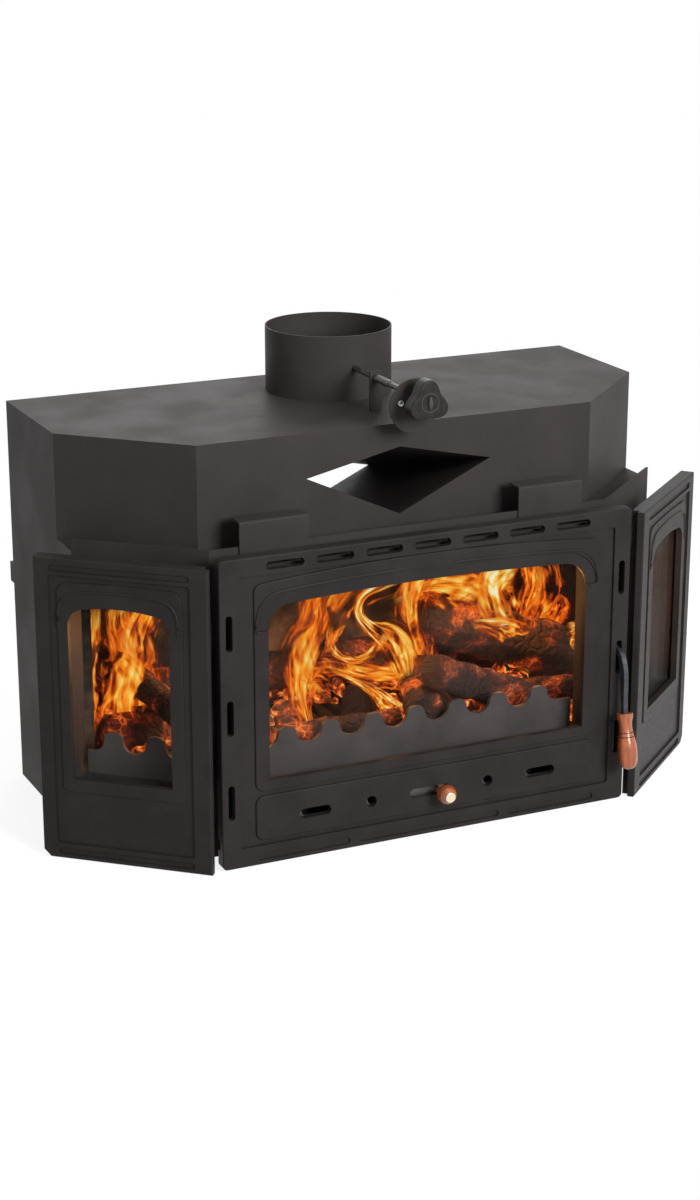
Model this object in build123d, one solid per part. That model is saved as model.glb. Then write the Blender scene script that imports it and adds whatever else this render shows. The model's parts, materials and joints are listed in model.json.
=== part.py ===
from build123d import *
import math
import os

# Fireplace insert with a hinged centre door and two angled side windows.
# Millimetres. X to the right, Y to the rear, Z up.
# The origin is where the flue's axis meets the underside of the base.

# Overall places
CASE_DEPTH = 451.0           # back of the casing behind the door's face
FLUE_REAR = 114.0            # flue axis in front of the casing's back
FLUE_BACK = CASE_DEPTH - FLUE_REAR
DOOR_Y = -FLUE_BACK          # front face of the door
DOOR_HALF = 307.0            # half the door's width; the widths below follow from it
HOOD_TOP = 561.5
SHEET = 3.0                  # casing and hood steel
BASE_T = 4.0
NEARLY = 1e-4

# Casing plan, as depths behind the door's face
CASE_FRONT_IN = 9.0          # casing's front corner in from the door's edge
CASE_OUT = 145.0             # casing's side out from its front corner
CASE_FRONT_HALF = DOOR_HALF - CASE_FRONT_IN
CASE_HALF = CASE_FRONT_HALF + CASE_OUT
CASE_FRONT = 55.0
CASE_RIM_TOP = 432.0         # top of the front and angled walls
LEDGE_TOP = 416.0

# Hood plan
HOOD_IN = 3.0
HOOD_FRONT_HALF = CASE_FRONT_HALF - HOOD_IN
HOOD_FRONT = 102.0
HOOD_SIDE = 243.0

# Warm air duct through the hood
DUCT_HALF = 141.0
DUCT_SIDE_Z = 499.0
DUCT_UP = 33.0               # crown above the side corners
DUCT_DOWN = 67.0             # keel below the side corners
DUCT_FALL = 92.0             # how much lower the rear mouth lies
DUCT_TAPER = 0.85            # rear mouth's width and height over the front's

# Flue collar and damper
FLUE_R = 90.0
FLUE_WALL = 2.0
COLLAR_H = 91.9              # collar above the hood
FLUE_TOP = HOOD_TOP + COLLAR_H
STOP_RING_UP = 54.5          # underside of the stop ring above the hood
STOP_RING_Z = HOOD_TOP + STOP_RING_UP
STOP_RING_T = 3.0
STOP_RING_IN = 2.0           # how far the stop ring stands in from the wall
DAMPER_UP = 46.5             # damper's axis above the hood
DAMPER_Z = HOOD_TOP + DAMPER_UP
ROD_R = 4.0
ROD_PAST = 5.0               # rod end behind the collar
RUN = 0.05                   # running clearance on a radius
FLAT_DROP = 1.0              # rod's flat below its crown
DAMPER_T = 2.0
DAMPER_GAP = 3.0             # damper plate's edge to the collar's bore
SCREW_R = 2.0
SCREW_HEAD_R = 4.0
SCREW_HEAD_T = 2.0
DAMPER_SCREW_X = 40.0
DAMPER_BRACKET_W = 18.0
DAMPER_BRACKET_DEPTH = 178.0
DAMPER_BRACKET_UP = 9.5      # bracket's top above the rod's axis
SLEEVE_R = 5.5
SLEEVE_DEPTH = 132.0
SHIELD_R = 37.0
SHIELD_DEPTH = 58.0
SHIELD_T = 2.0
SHIELD_DROP = 13.0           # shield's centre below the rod
KNOB_DEPTH = 13.0            # front face of the three-lobed knob
KNOB_T = 20.0
KNOB_R = 25.0
KNOB_LOBE = 5.0
KNOB_EDGE = 2.5

# Centre door
DOOR_LOW = 2.5
DOOR_TOP = 433.5
DOOR_PLATE = 10.0
DOOR_RIM = 6.0
DOOR_DEEP = 18.0
DOOR_CORNER = 7.0
FIELD_IN = 26.0              # field's side in from the door's edge
FIELD_HALF = DOOR_HALF - FIELD_IN
FIELD_LOW = 30.0
FIELD_TOP = 408.0
FIELD_DEEP = 4.0
FIELD_CORNER = 4.0
FRAME_IN = 49.0
FRAME_HALF = DOOR_HALF - FRAME_IN
FRAME_LOW = 107.0
FRAME_TOP = 396.0
FRAME_CROWN = 407.0
FRAME_CORNER = 12.0
FRAME_FACE = 1.0             # depth of the raised frame's face
RAISED_EDGE = 1.8            # rounding of raised edges
WINDOW_IN = 69.0
WINDOW_HALF = DOOR_HALF - WINDOW_IN
WINDOW_LOW = 121.0
WINDOW_TOP = 364.0
WINDOW_CROWN = 370.0
WINDOW_CORNER = 34.0
REBATE = 17.0                # sunk band between the window and its ridge
REBATE_DEEP = 2.0
REBATE_LOW = 331.0           # the ridge ends here at each side
PANEL_LOW = 37.0
PANEL_TOP = 100.0
PANEL_CORNER = 12.0
DOOR_EDGE = 2.0

# Slots and vents in the door
TOP_SLOT_L = 54.5
TOP_SLOT_H = 11.0
TOP_SLOT_Z = 419.5
TOP_SLOT_PITCH = 71.3
TOP_SLOTS = 7
SIDE_SLOT_L = 49.5
SIDE_SLOT_W = 9.5
SIDE_SLOT_IN = 13.5          # side slots in from the door's edge
SIDE_SLOT_X = DOOR_HALF - SIDE_SLOT_IN
SIDE_SLOT_Z = (98.0, 217.0, 334.0)
GROOVE_Z = 14.0
GROOVE_H = 10.0
GROOVE_DEEP = 2.5
GROOVE_GAP = 14.0
GROOVE_END = FRAME_HALF
GROOVE_MID_L = 214.0
AIR_Z = 65.0
AIR_H = 14.0
AIR_OVAL_X = 172.0
AIR_OVAL_L = 46.0
AIR_HOLE_X = 89.0
AIR_HOLE_R = 8.0
AIR_SLOT_L = 61.0

# Door glass and seals
GASKET_T = 1.2
GLASS_T = 4.0
GLASS_LAP = 12.0             # glass past the window at the sides and foot
GLASS_RISE = 13.0            # glass above the window's crown
GLASS_HALF = WINDOW_HALF + GLASS_LAP
GLASS_LOW = WINDOW_LOW - GLASS_LAP
GLASS_TOP = WINDOW_CROWN + GLASS_RISE
GASKET_LIP = 4.0
CLIP_T = 2.0
CLIP_L = 14.0
CLIP_W = 12.0
CLIP_HOLD = 5.0              # clip's reach over the glass
BOSS_R = 3.4
BOSS_OUT = 5.5               # boss centre outside the glass edge
CLIP_SIDE_Z = (170.0, 320.0)
CLIP_TOP_X = 130.0
ROPE_W = 10.0
ROPE_IN = 34.0               # rope's outside in from the door's edge
ROPE_HALF = DOOR_HALF - ROPE_IN
ROPE_LOW = 18.0
ROPE_TOP = 408.0
ROPE_GAP = 0.3

# Frame behind the door
FLANGE_FRONT = 27.0
FLANGE_T = 4.0
FLANGE_IN = 29.0             # flange's side in from the door's edge
FLANGE_HALF = DOOR_HALF - FLANGE_IN
FLANGE_LOW = 12.0
FLANGE_TOP = 412.0
MOUTH_IN = 23.0              # mouth's side in from the flange's
MOUTH_HALF = FLANGE_HALF - MOUTH_IN
MOUTH_LOW = 98.0
MOUTH_TOP = 394.0
MOUTH_CORNER = 10.0
ASH_MOUTH_HALF = 205.0
ASH_MOUTH_LOW = 30.0
ASH_MOUTH_TOP = 84.0

# Door hinge at the left
PIVOT_IN = 14.0              # hinge line in from the door's edge
PIVOT_X = PIVOT_IN - DOOR_HALF
PIVOT_DEPTH = 17.5
KNUCKLE_R = 7.0
KNUCKLE_L = 20.0
EYE_L = 12.0
HINGE_GAP = 0.3
EYE_LOWS = (30.0, 367.5)
HINGE_PIN_R = 4.0
HINGE_HEAD_R = 6.0
HINGE_HEAD_T = 2.0
ARM_T = 5.0
ARM_NEAR = 2.0
ARM_GRIP = 16.0
NOTCH_SPARE = 1.5

# Latch at the right
LATCH_X = SIDE_SLOT_X
LATCH_DEPTH = 13.0
LATCH_Z = 226.0
LATCH_T = 7.0
LATCH_HUB_R = 6.5
LATCH_AXLE_R = 3.0
EAR_T = 2.4
EAR_GAP = 1.4                # ear to lever, clear of the slot's edge
EAR_H = 14.0
EAR_BACK = 19.0
CLAW_BACK = 24.0
CLAW_W = 5.0
CLAW_UNDER = 9.0
CLAW_OVER = 3.0
CLAW_RISE = 3.4
KEEPER_GAP = 0.6
KEEPER_H = 18.0
KEEPER_PAST = 5.5            # keeper's end past the latch's middle
KEEPER_OUT = LATCH_X + KEEPER_PAST
LEVER_W = 9.0
LEVER_END_W = 7.0
LEVER_DROP = 1.0             # lever's middle below its axle, in the slot
NECK_DEPTH = -13.0
NECK_Z = 209.0
FERRULE_DEPTH = -21.0
FERRULE_Z = 140.0
GRIP_L = 80.0
GRIP_LEAN = 12.5             # degrees that the grip leans outwards
GRIP_COLLAR_R = 11.5
GRIP_NECK_R = 9.2
GRIP_R = 13.6
GRIP_COLLAR_L = 5.0
GRIP_WAIST = 16.0
GRIP_BELLY = 54.0
GRIP_STUB_L = 12.0
GRIP_STUB_ROOT = 2.0         # spigot's start inside the lever
GRIP_STUB_R = 3.2

# Air slider
SLIDER_FRONT = 10.3
SLIDER_T = 2.0
SLIDER_LEFT = -206.0
SLIDER_RIGHT = 220.0
SLIDER_H = 34.0
SLIDER_SHIFT = 15.0          # knob right of centre at rest
SLIDER_PORT = 6.0            # ports' shift that covers part of each vent
STEM_R = 3.0
STEM_FRONT = -8.0
SLIDER_KNOB_DEPTH = -20.0
SLIDER_KNOB_R = 13.5
CAP_R = 7.5
CAP_T = 4.0
GUIDE_W = 14.0
GUIDE_RUN = 0.4
GUIDE_LIP = 2.0
GUIDE_UP = 5.0
GUIDE_XS = (-130.0, -45.0, 50.0, 130.0)

# Angled wings
WING_GAP = 17.5              # wing's edge out from the door's edge
WING_IN_X = DOOR_HALF + WING_GAP
WING_IN_DEPTH = -4.2
WING_ANGLE = 41.15
WING_PAST = 48.4             # wing longer than the casing's angled wall
WING_L = CASE_OUT / math.cos(math.radians(WING_ANGLE)) + WING_PAST
WING_LOW = 1.0
WING_TOP = 424.0
WING_PLATE = 10.0
WING_RIM = 6.0
WING_RIM_SET = 8.0           # rim set in beside the door, to clear its swing
WING_DEEP = 20.0
WING_CHAMFER = 10.0
WING_FIELD_END = 20.0
WING_FIELD = (24.0, WING_L - WING_FIELD_END, 23.0, 401.0)
WING_FIELD_DEEP = 3.0
WING_FRAME_END = 32.0
WING_FRAME = (36.0, WING_L - WING_FRAME_END, 99.0, 392.0)
WING_FRAME_CROWN = 393.5
WING_FRAME_CORNER = 16.0
WING_WINDOW_END = 46.0
WING_WINDOW = (54.0, WING_L - WING_WINDOW_END, 117.0, 357.0)
WING_WINDOW_CROWN = 361.0
WING_WINDOW_CORNER = 24.0
WING_GROOVE_END = 22.0
WING_GROOVE = (24.0, WING_L - WING_GROOVE_END)
WING_SLOT_Z = 410.5
WING_SLOT_H = 9.0
WING_BAR_Z = 11.5
WING_BAR_H = 9.0
WING_GLASS_OVER = 9.0        # glass past the window all round
WING_TUBE_OVER = 10.0        # frame tube's outside past the window
WING_FLANGE_OUT = 15.0       # flange past the tube
WING_BOSS_R = 6.0
WING_BOSS_IN = 7.0           # bolt centre in from the flange's corner
BOLT_R = 2.5
BOLT_HEAD_R = 5.0
BOLT_HEAD_T = 4.0

# Top brackets and rear lugs
TAB_EDGE = 42.0              # tab's outer end in from the casing's front corner
TAB_W = 99.0
TAB_OUT = CASE_FRONT_HALF - TAB_EDGE
TAB_IN = TAB_OUT - TAB_W
TAB_TOP = 466.0
TAB_LOW = 420.0
TAB_BACK = 80.0
LUG_W = 18.0
LUG_D = 15.0
LUG_LOW = 294.0
LUG_TOP = 323.0

# Inside the firebox
FLOOR_LOW = 88.0
FLOOR_TOP = 92.0
GRATE_HALF = 135.0
GRATE_NEAR = 195.0
GRATE_FAR = 365.0
GRATE_LIP = 10.0
GRATE_LIP_T = 4.0
GRATE_PLAY = 1.0
GRATE_BARS = 9
GRATE_SLOT = 12.0
BRICK_T = 25.0
BRICK_TOP = 330.0
BRICK_CLEAR = 13.3           # bricks' front behind the casing's side corner
BAFFLE_T = 10.0
GUARD_T = 6.0
GUARD_BACK = 52.0
GUARD_TOP = 173.0
GUARD_VALLEY = 148.0
GUARD_PLAY = 0.5
GUARD_HALF = MOUTH_HALF - MOUTH_CORNER - GUARD_PLAY
GUARD_END = 19.5             # plain bar at each end
CREST_COUNT = 7
GUARD_PITCH = 2 * (GUARD_HALF - GUARD_END) / CREST_COUNT
GUARD_CREST_W = 26.0
CREST_CROWN = 0.5
WING_GUARD_TOP = 169.5
WING_GUARD_VALLEY = 142.0
WING_GUARD_PITCH = 60.0
WING_CREST_COUNT = 2
WING_GUARD_DEPTH = 47.0
PAN_HALF = 198.0
PAN_LOW = 31.5
PAN_TOP = 80.0
PAN_NEAR = 62.0
PAN_FAR = 420.0
PAN_T = 2.0
PAN_CORNER = 8.0
PAN_LIP = 8.0
RUNNER_X = 165.0
RUNNER_W = 20.0
RUNNER_GAP = 0.3


# Helpers

def at(depth):
    """Y of the plane that lies this far behind the door's front face."""
    return DOOR_Y + depth


def slab(outline, front, back):
    """An outline in X and Z made solid between two depths."""
    return extrude(Plane.XZ.offset(-at(back)) * outline, back - front)


def wing_slab(outline, front, back):
    """An outline on the right wing's face made solid between two depths behind it."""
    return extrude(WING_PLANE.offset(-back) * outline, back - front)


def plan(points, low, top):
    """A plan outline, as X and depth, made solid between two heights."""
    corners = [(x, at(depth)) for x, depth in points]
    face = make_face(Polyline(*corners, close=True))
    return extrude(Plane.XY.offset(low) * face, top - low)


def rect(left, right, low, top, corner=0.0):
    """A rectangle given by its sides."""
    width = right - left
    height = top - low
    shape = RectangleRounded(width, height, corner) if corner else Rectangle(width, height)
    return Pos((left + right) / 2, (low + top) / 2) * shape


def arched(left, right, low, top, crown, corner, foot=0.0):
    """An upright outline with rounded top corners and a slightly arched top."""
    middle = (left + right) / 2
    turn = corner * (1 - math.sqrt(0.5))
    lines = [
        Line((left + foot, low), (right - foot, low)),
        Line((right, low + foot), (right, top - corner)),
        ThreePointArc((right, top - corner), (right - turn, top - turn), (right - corner, top)),
        ThreePointArc((right - corner, top), (middle, crown), (left + corner, top)),
        ThreePointArc((left + corner, top), (left + turn, top - turn), (left, top - corner)),
        Line((left, top - corner), (left, low + foot)),
    ]
    if foot:
        bend = foot * (1 - math.sqrt(0.5))
        right_bend = (right - bend, low + bend)
        left_bend = (left + bend, low + bend)
        lines.append(ThreePointArc((right - foot, low), right_bend, (right, low + foot)))
        lines.append(ThreePointArc((left, low + foot), left_bend, (left + foot, low)))
    return make_face(Curve() + lines)


def rod_along_y(radius, front, back, x=0.0, z=0.0):
    """A round bar along Y between two depths."""
    return extrude(Plane.XZ.offset(-at(back)) * Pos(x, z) * Circle(radius), back - front)


def rod_along_z(radius, low, top, x, depth):
    """A round bar along Z."""
    return extrude(Plane.XY.offset(low) * Pos(x, at(depth)) * Circle(radius), top - low)


def front_edges(solid, y):
    """Edges that lie in the plane at this Y."""
    return solid.edges().filter_by(lambda edge: abs(edge.center().Y - y) < NEARLY
                                   and edge.bounding_box().size.Y < NEARLY)


def mirrored(solid):
    """The same piece on the left side."""
    return mirror(solid, about=Plane.YZ)


def inset(points, distance):
    """A convex plan outline, listed anticlockwise, moved inwards."""
    moved = []
    count = len(points)
    for i in range(count):
        before = points[i - 1]
        here = points[i]
        after = points[(i + 1) % count]
        first = Vector(here[0] - before[0], here[1] - before[1]).normalized()
        second = Vector(after[0] - here[0], after[1] - here[1]).normalized()
        half = (Vector(-first.Y, first.X) + Vector(-second.Y, second.X)).normalized()
        reach = distance / (half.X * -first.Y + half.Y * first.X)
        moved.append((here[0] + half.X * reach, here[1] + half.Y * reach))
    return moved


def wall(outer, index, low, top):
    """One mitred sheet wall along a side of a plan outline."""
    inner = inset(outer, SHEET)
    after = (index + 1) % len(outer)
    return plan([outer[index], outer[after], inner[after], inner[index]], low, top)


# Values that follow from the sizes above

CASE_SIDE = CASE_FRONT + CASE_OUT * math.tan(math.radians(WING_ANGLE))
BRICK_NEAR = CASE_SIDE + BRICK_CLEAR
WING_SEAT = WING_PLATE + GASKET_T + GLASS_T
CASE_PLAN = [
    (-CASE_FRONT_HALF, CASE_FRONT),
    (CASE_FRONT_HALF, CASE_FRONT),
    (CASE_HALF, CASE_SIDE),
    (CASE_HALF, CASE_DEPTH),
    (-CASE_HALF, CASE_DEPTH),
    (-CASE_HALF, CASE_SIDE),
]
HOOD_PLAN = [
    (-HOOD_FRONT_HALF, HOOD_FRONT),
    (HOOD_FRONT_HALF, HOOD_FRONT),
    (CASE_HALF, HOOD_SIDE),
    (CASE_HALF, CASE_DEPTH),
    (-CASE_HALF, CASE_DEPTH),
    (-CASE_HALF, HOOD_SIDE),
]
WALL_FRONT, WALL_ANGLE_RIGHT, WALL_RIGHT, WALL_BACK, WALL_LEFT, WALL_ANGLE_LEFT = range(6)
ROOF_LOW = HOOD_TOP - SHEET

WING_COS = math.cos(math.radians(WING_ANGLE))
WING_SIN = math.sin(math.radians(WING_ANGLE))
WING_PLANE = Plane(
    origin=(WING_IN_X, at(WING_IN_DEPTH), 0),
    x_dir=(WING_COS, WING_SIN, 0),
    z_dir=(WING_SIN, -WING_COS, 0),
)
# The casing's angled wall lies parallel to the wing, this far behind its face.
WING_TO_WALL = (CASE_FRONT - WING_IN_DEPTH) * WING_COS + (WING_IN_X - CASE_FRONT_HALF) * WING_SIN

GLASS_FRONT = DOOR_PLATE + GASKET_T
GLASS_BACK = GLASS_FRONT + GLASS_T


def window_outline(grow=0.0):
    """The door window's outline, grown by a margin."""
    return arched(
        -WINDOW_HALF - grow, WINDOW_HALF + grow, WINDOW_LOW - grow,
        WINDOW_TOP + grow, WINDOW_CROWN + grow, WINDOW_CORNER + grow,
    )


def wing_window_outline(grow=0.0):
    """The wing window's outline, grown by a margin."""
    left, right, low, top = WING_WINDOW
    return arched(
        left - grow, right + grow, low - grow,
        top + grow, WING_WINDOW_CROWN + grow, WING_WINDOW_CORNER + grow,
    )


def wing_rect(over, corner=0.0):
    """A rectangle that stands past the wing's window by the same amount all round."""
    left, right, low, top = WING_WINDOW
    return rect(left - over, right + over, low - over, top + over, corner)


# Casing and hood

def base_plate():
    return plan(CASE_PLAN, 0, BASE_T)


def kite(half, up, down, z, grow=0.0):
    """The duct's section, with its side corners at height z."""
    points = [(-half - grow, z), (0, z - down - grow), (half + grow, z), (0, z + up + grow)]
    return make_face(Polyline(*points, close=True))


def duct_solid(grow):
    """A tapered prism from the hood's front to the casing's back."""
    front = kite(DUCT_HALF, DUCT_UP, DUCT_DOWN, DUCT_SIDE_Z, grow)
    rear = kite(
        DUCT_HALF * DUCT_TAPER, DUCT_UP * DUCT_TAPER, DUCT_DOWN * DUCT_TAPER,
        DUCT_SIDE_Z - DUCT_FALL, grow,
    )
    front_face = Plane.XZ.offset(-at(HOOD_FRONT)) * front
    rear_face = Plane.XZ.offset(-at(CASE_DEPTH)) * rear
    return loft([front_face, rear_face], ruled=True)


def warm_air_duct():
    return duct_solid(0) - duct_solid(-SHEET)


def back_wall():
    wall_solid = wall(CASE_PLAN, WALL_BACK, BASE_T, ROOF_LOW)
    return wall_solid - duct_solid(0)


def side_wall_right():
    low = wall(CASE_PLAN, WALL_RIGHT, BASE_T, LEDGE_TOP)
    high = wall(HOOD_PLAN, WALL_RIGHT, LEDGE_TOP, ROOF_LOW)
    return low + high


def front_wall():
    solid = wall(CASE_PLAN, WALL_FRONT, BASE_T, CASE_RIM_TOP)
    front = CASE_FRONT
    back = CASE_FRONT + SHEET
    mouth = rect(-MOUTH_HALF, MOUTH_HALF, MOUTH_LOW, MOUTH_TOP, MOUTH_CORNER)
    ash_mouth = rect(-ASH_MOUTH_HALF, ASH_MOUTH_HALF, ASH_MOUTH_LOW, ASH_MOUTH_TOP)
    return solid - slab(mouth, front, back) - slab(ash_mouth, front, back)


def angled_wall_right():
    solid = wall(CASE_PLAN, WALL_ANGLE_RIGHT, BASE_T, CASE_RIM_TOP)
    hole = wing_rect(WING_TUBE_OVER - SHEET, MOUTH_CORNER)
    return solid - wing_slab(hole, WING_TO_WALL - SHEET, WING_TO_WALL + 2 * SHEET)


def ledge_plate():
    whole = plan(inset(CASE_PLAN, SHEET), LEDGE_TOP - SHEET, LEDGE_TOP)
    return whole - plan(inset(HOOD_PLAN, SHEET), LEDGE_TOP - SHEET, LEDGE_TOP)


def hood_front():
    return wall(HOOD_PLAN, WALL_FRONT, LEDGE_TOP, ROOF_LOW) - duct_solid(0)


def hood_chamfer_right():
    return wall(HOOD_PLAN, WALL_ANGLE_RIGHT, LEDGE_TOP, ROOF_LOW)


def hood_top():
    roof = plan(HOOD_PLAN, ROOF_LOW, HOOD_TOP)
    return roof - rod_along_z(FLUE_R - FLUE_WALL, ROOF_LOW, HOOD_TOP, 0, FLUE_BACK)


def rear_lugs():
    right = slab(rect(CASE_HALF - LUG_W, CASE_HALF, LUG_LOW, LUG_TOP), CASE_DEPTH, CASE_DEPTH + LUG_D)
    return Compound(children=[right, mirrored(right)])


def lintel_bracket_right():
    front = CASE_FRONT - SHEET
    upright = slab(rect(TAB_IN, TAB_OUT, TAB_LOW, TAB_TOP), front, CASE_FRONT)
    leaf = slab(rect(TAB_IN, TAB_OUT, TAB_TOP - SHEET, TAB_TOP), front, TAB_BACK)
    bracket = upright + leaf
    bend = bracket.edges().filter_by(Axis.X).sort_by(Axis.Z)[-2:].sort_by(Axis.Y)[0]
    return fillet(bend, SHEET)


# Flue collar and damper

def flue_collar():
    inner = FLUE_R - FLUE_WALL
    tube = rod_along_z(FLUE_R, HOOD_TOP, FLUE_TOP, 0, FLUE_BACK)
    bore_low = rod_along_z(inner, HOOD_TOP, STOP_RING_Z, 0, FLUE_BACK)
    ring_top = STOP_RING_Z + STOP_RING_T
    bore_ring = rod_along_z(inner - STOP_RING_IN, STOP_RING_Z, ring_top, 0, FLUE_BACK)
    bore_high = rod_along_z(inner, ring_top, FLUE_TOP, 0, FLUE_BACK)
    shell = tube - bore_low - bore_ring - bore_high
    reach = FLUE_R + ROD_PAST
    return shell - rod_along_y(ROD_R + RUN, FLUE_BACK - reach, FLUE_BACK + reach, 0, DAMPER_Z)


def damper_bracket():
    half = DAMPER_BRACKET_W / 2
    top = DAMPER_Z + DAMPER_BRACKET_UP
    back = DAMPER_BRACKET_DEPTH + SHEET
    plate = slab(rect(-half, half, HOOD_TOP, top), DAMPER_BRACKET_DEPTH, back)
    return plate - rod_along_y(ROD_R + RUN, DAMPER_BRACKET_DEPTH, back, 0, DAMPER_Z)


def damper_rod():
    far = FLUE_BACK + FLUE_R + ROD_PAST
    rod = rod_along_y(ROD_R, KNOB_DEPTH + KNOB_T / 2, far, 0, DAMPER_Z)
    reach = FLUE_R - FLUE_WALL - DAMPER_GAP + RUN
    flat = rect(-ROD_R, ROD_R, DAMPER_Z + ROD_R - FLAT_DROP, DAMPER_Z + ROD_R)
    rod = rod - slab(flat, FLUE_BACK - reach, FLUE_BACK + reach)
    for offset in (-DAMPER_SCREW_X, DAMPER_SCREW_X):
        rod = rod - rod_along_z(SCREW_R, DAMPER_Z - ROD_R, DAMPER_Z + ROD_R, 0, FLUE_BACK + offset)
    return rod


def damper_plate():
    low = DAMPER_Z + ROD_R - FLAT_DROP
    radius = FLUE_R - FLUE_WALL - DAMPER_GAP
    plate = rod_along_z(radius, low, low + DAMPER_T, 0, FLUE_BACK)
    for offset in (-DAMPER_SCREW_X, DAMPER_SCREW_X):
        plate = plate - rod_along_z(SCREW_R, low, low + DAMPER_T, 0, FLUE_BACK + offset)
    screws = [damper_screw(offset) for offset in (-DAMPER_SCREW_X, DAMPER_SCREW_X)]
    return Compound(children=[plate] + screws)


def damper_screw(offset):
    head_low = DAMPER_Z + ROD_R - FLAT_DROP + DAMPER_T
    depth = FLUE_BACK + offset
    shank = rod_along_z(SCREW_R, DAMPER_Z - ROD_R, head_low, 0, depth)
    return shank + rod_along_z(SCREW_HEAD_R, head_low, head_low + SCREW_HEAD_T, 0, depth)


def damper_sleeve():
    back = DAMPER_BRACKET_DEPTH - RUNNER_GAP
    tube = rod_along_y(SLEEVE_R, SLEEVE_DEPTH, back, 0, DAMPER_Z)
    return tube - rod_along_y(ROD_R, SLEEVE_DEPTH, back, 0, DAMPER_Z)


def damper_shield():
    back = SHIELD_DEPTH + SHIELD_T
    disc = rod_along_y(SHIELD_R, SHIELD_DEPTH, back, 0, DAMPER_Z - SHIELD_DROP)
    return disc - rod_along_y(ROD_R, SHIELD_DEPTH, back, 0, DAMPER_Z)


def damper_knob():
    steps = 24
    rim = []
    for i in range(steps):
        angle = 2 * math.pi * i / steps
        radius = KNOB_R + KNOB_LOBE * math.cos(3 * (angle - math.pi / 2))
        rim.append((radius * math.cos(angle), DAMPER_Z + radius * math.sin(angle)))
    outline = make_face(Spline(*rim, periodic=True))
    knob = slab(outline, KNOB_DEPTH, KNOB_DEPTH + KNOB_T)
    knob = fillet(front_edges(knob, at(KNOB_DEPTH)), KNOB_EDGE)
    back = KNOB_DEPTH + KNOB_T
    return knob - rod_along_y(ROD_R, KNOB_DEPTH + KNOB_T / 2, back, 0, DAMPER_Z)


# Centre door

def door_blank():
    """The door's face plate with its sunk field, raised frame and raised lower panel."""
    outline = rect(-DOOR_HALF, DOOR_HALF, DOOR_LOW, DOOR_TOP, DOOR_CORNER)
    plate = slab(outline, 0, DOOR_PLATE)
    plate = fillet(front_edges(plate, at(0)), DOOR_EDGE)
    field = rect(-FIELD_HALF, FIELD_HALF, FIELD_LOW, FIELD_TOP, FIELD_CORNER)
    plate = plate - slab(field, 0, FIELD_DEEP)
    return plate + raised_frame() + raised_panel()


def raised_frame():
    outline = arched(
        -FRAME_HALF, FRAME_HALF, FRAME_LOW, FRAME_TOP, FRAME_CROWN, FRAME_CORNER, FRAME_CORNER,
    )
    frame = slab(outline, FRAME_FACE, DOOR_PLATE)
    frame = fillet(front_edges(frame, at(FRAME_FACE)), RAISED_EDGE)
    rebate = window_outline(REBATE)
    keep = rect(-FRAME_HALF, FRAME_HALF, FRAME_LOW, REBATE_LOW)
    sunk = slab(rebate, FRAME_FACE, FRAME_FACE + REBATE_DEEP)
    sunk = sunk - slab(keep, FRAME_FACE, FRAME_FACE + REBATE_DEEP)
    return frame - sunk


def raised_panel():
    outline = rect(-FRAME_HALF, FRAME_HALF, PANEL_LOW, PANEL_TOP, PANEL_CORNER)
    panel = slab(outline, FRAME_FACE, DOOR_PLATE)
    return fillet(front_edges(panel, at(FRAME_FACE)), RAISED_EDGE)


def vent_outlines():
    """Every opening through the door's plate, apart from the window."""
    first = -(TOP_SLOTS - 1) / 2
    holes = []
    for i in range(TOP_SLOTS):
        holes.append(Pos((first + i) * TOP_SLOT_PITCH, TOP_SLOT_Z) * SlotOverall(TOP_SLOT_L, TOP_SLOT_H))
    for x in (-SIDE_SLOT_X, SIDE_SLOT_X):
        for z in SIDE_SLOT_Z:
            holes.append(Pos(x, z) * SlotOverall(SIDE_SLOT_L, SIDE_SLOT_W, rotation=90))
    holes.append(Pos(0, AIR_Z) * SlotOverall(AIR_SLOT_L, AIR_H))
    holes.extend(air_ports(0))
    return holes


def air_ports(shift):
    """The ovals and round holes that the air slider covers."""
    ports = []
    for side in (-1, 1):
        ports.append(Pos(side * AIR_OVAL_X + shift, AIR_Z) * SlotOverall(AIR_OVAL_L, AIR_H))
        ports.append(Pos(side * AIR_HOLE_X + shift, AIR_Z) * Circle(AIR_HOLE_R))
    return ports


def bottom_grooves():
    """Three blind grooves along the door's foot."""
    side_l = GROOVE_END - GROOVE_MID_L / 2 - GROOVE_GAP
    side_x = GROOVE_END - side_l / 2
    middle = Pos(0, GROOVE_Z) * SlotOverall(GROOVE_MID_L, GROOVE_H)
    left = Pos(-side_x, GROOVE_Z) * SlotOverall(side_l, GROOVE_H)
    right = Pos(side_x, GROOVE_Z) * SlotOverall(side_l, GROOVE_H)
    return [left, middle, right]


def door_rim():
    """The door's deep edge, cut away beside the hinge arms."""
    outline = rect(-DOOR_HALF, DOOR_HALF, DOOR_LOW, DOOR_TOP, DOOR_CORNER)
    inner = rect(
        -DOOR_HALF + DOOR_RIM, DOOR_HALF - DOOR_RIM,
        DOOR_LOW + DOOR_RIM, DOOR_TOP - DOOR_RIM,
    )
    rim = slab(outline, DOOR_PLATE, DOOR_DEEP) - slab(inner, DOOR_PLATE, DOOR_DEEP)
    for low in EYE_LOWS:
        notch = rect(
            -DOOR_HALF, -DOOR_HALF + DOOR_RIM, low - NOTCH_SPARE, low + EYE_L + NOTCH_SPARE,
        )
        rim = rim - slab(notch, DOOR_PLATE, DOOR_DEEP)
    return rim


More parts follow.
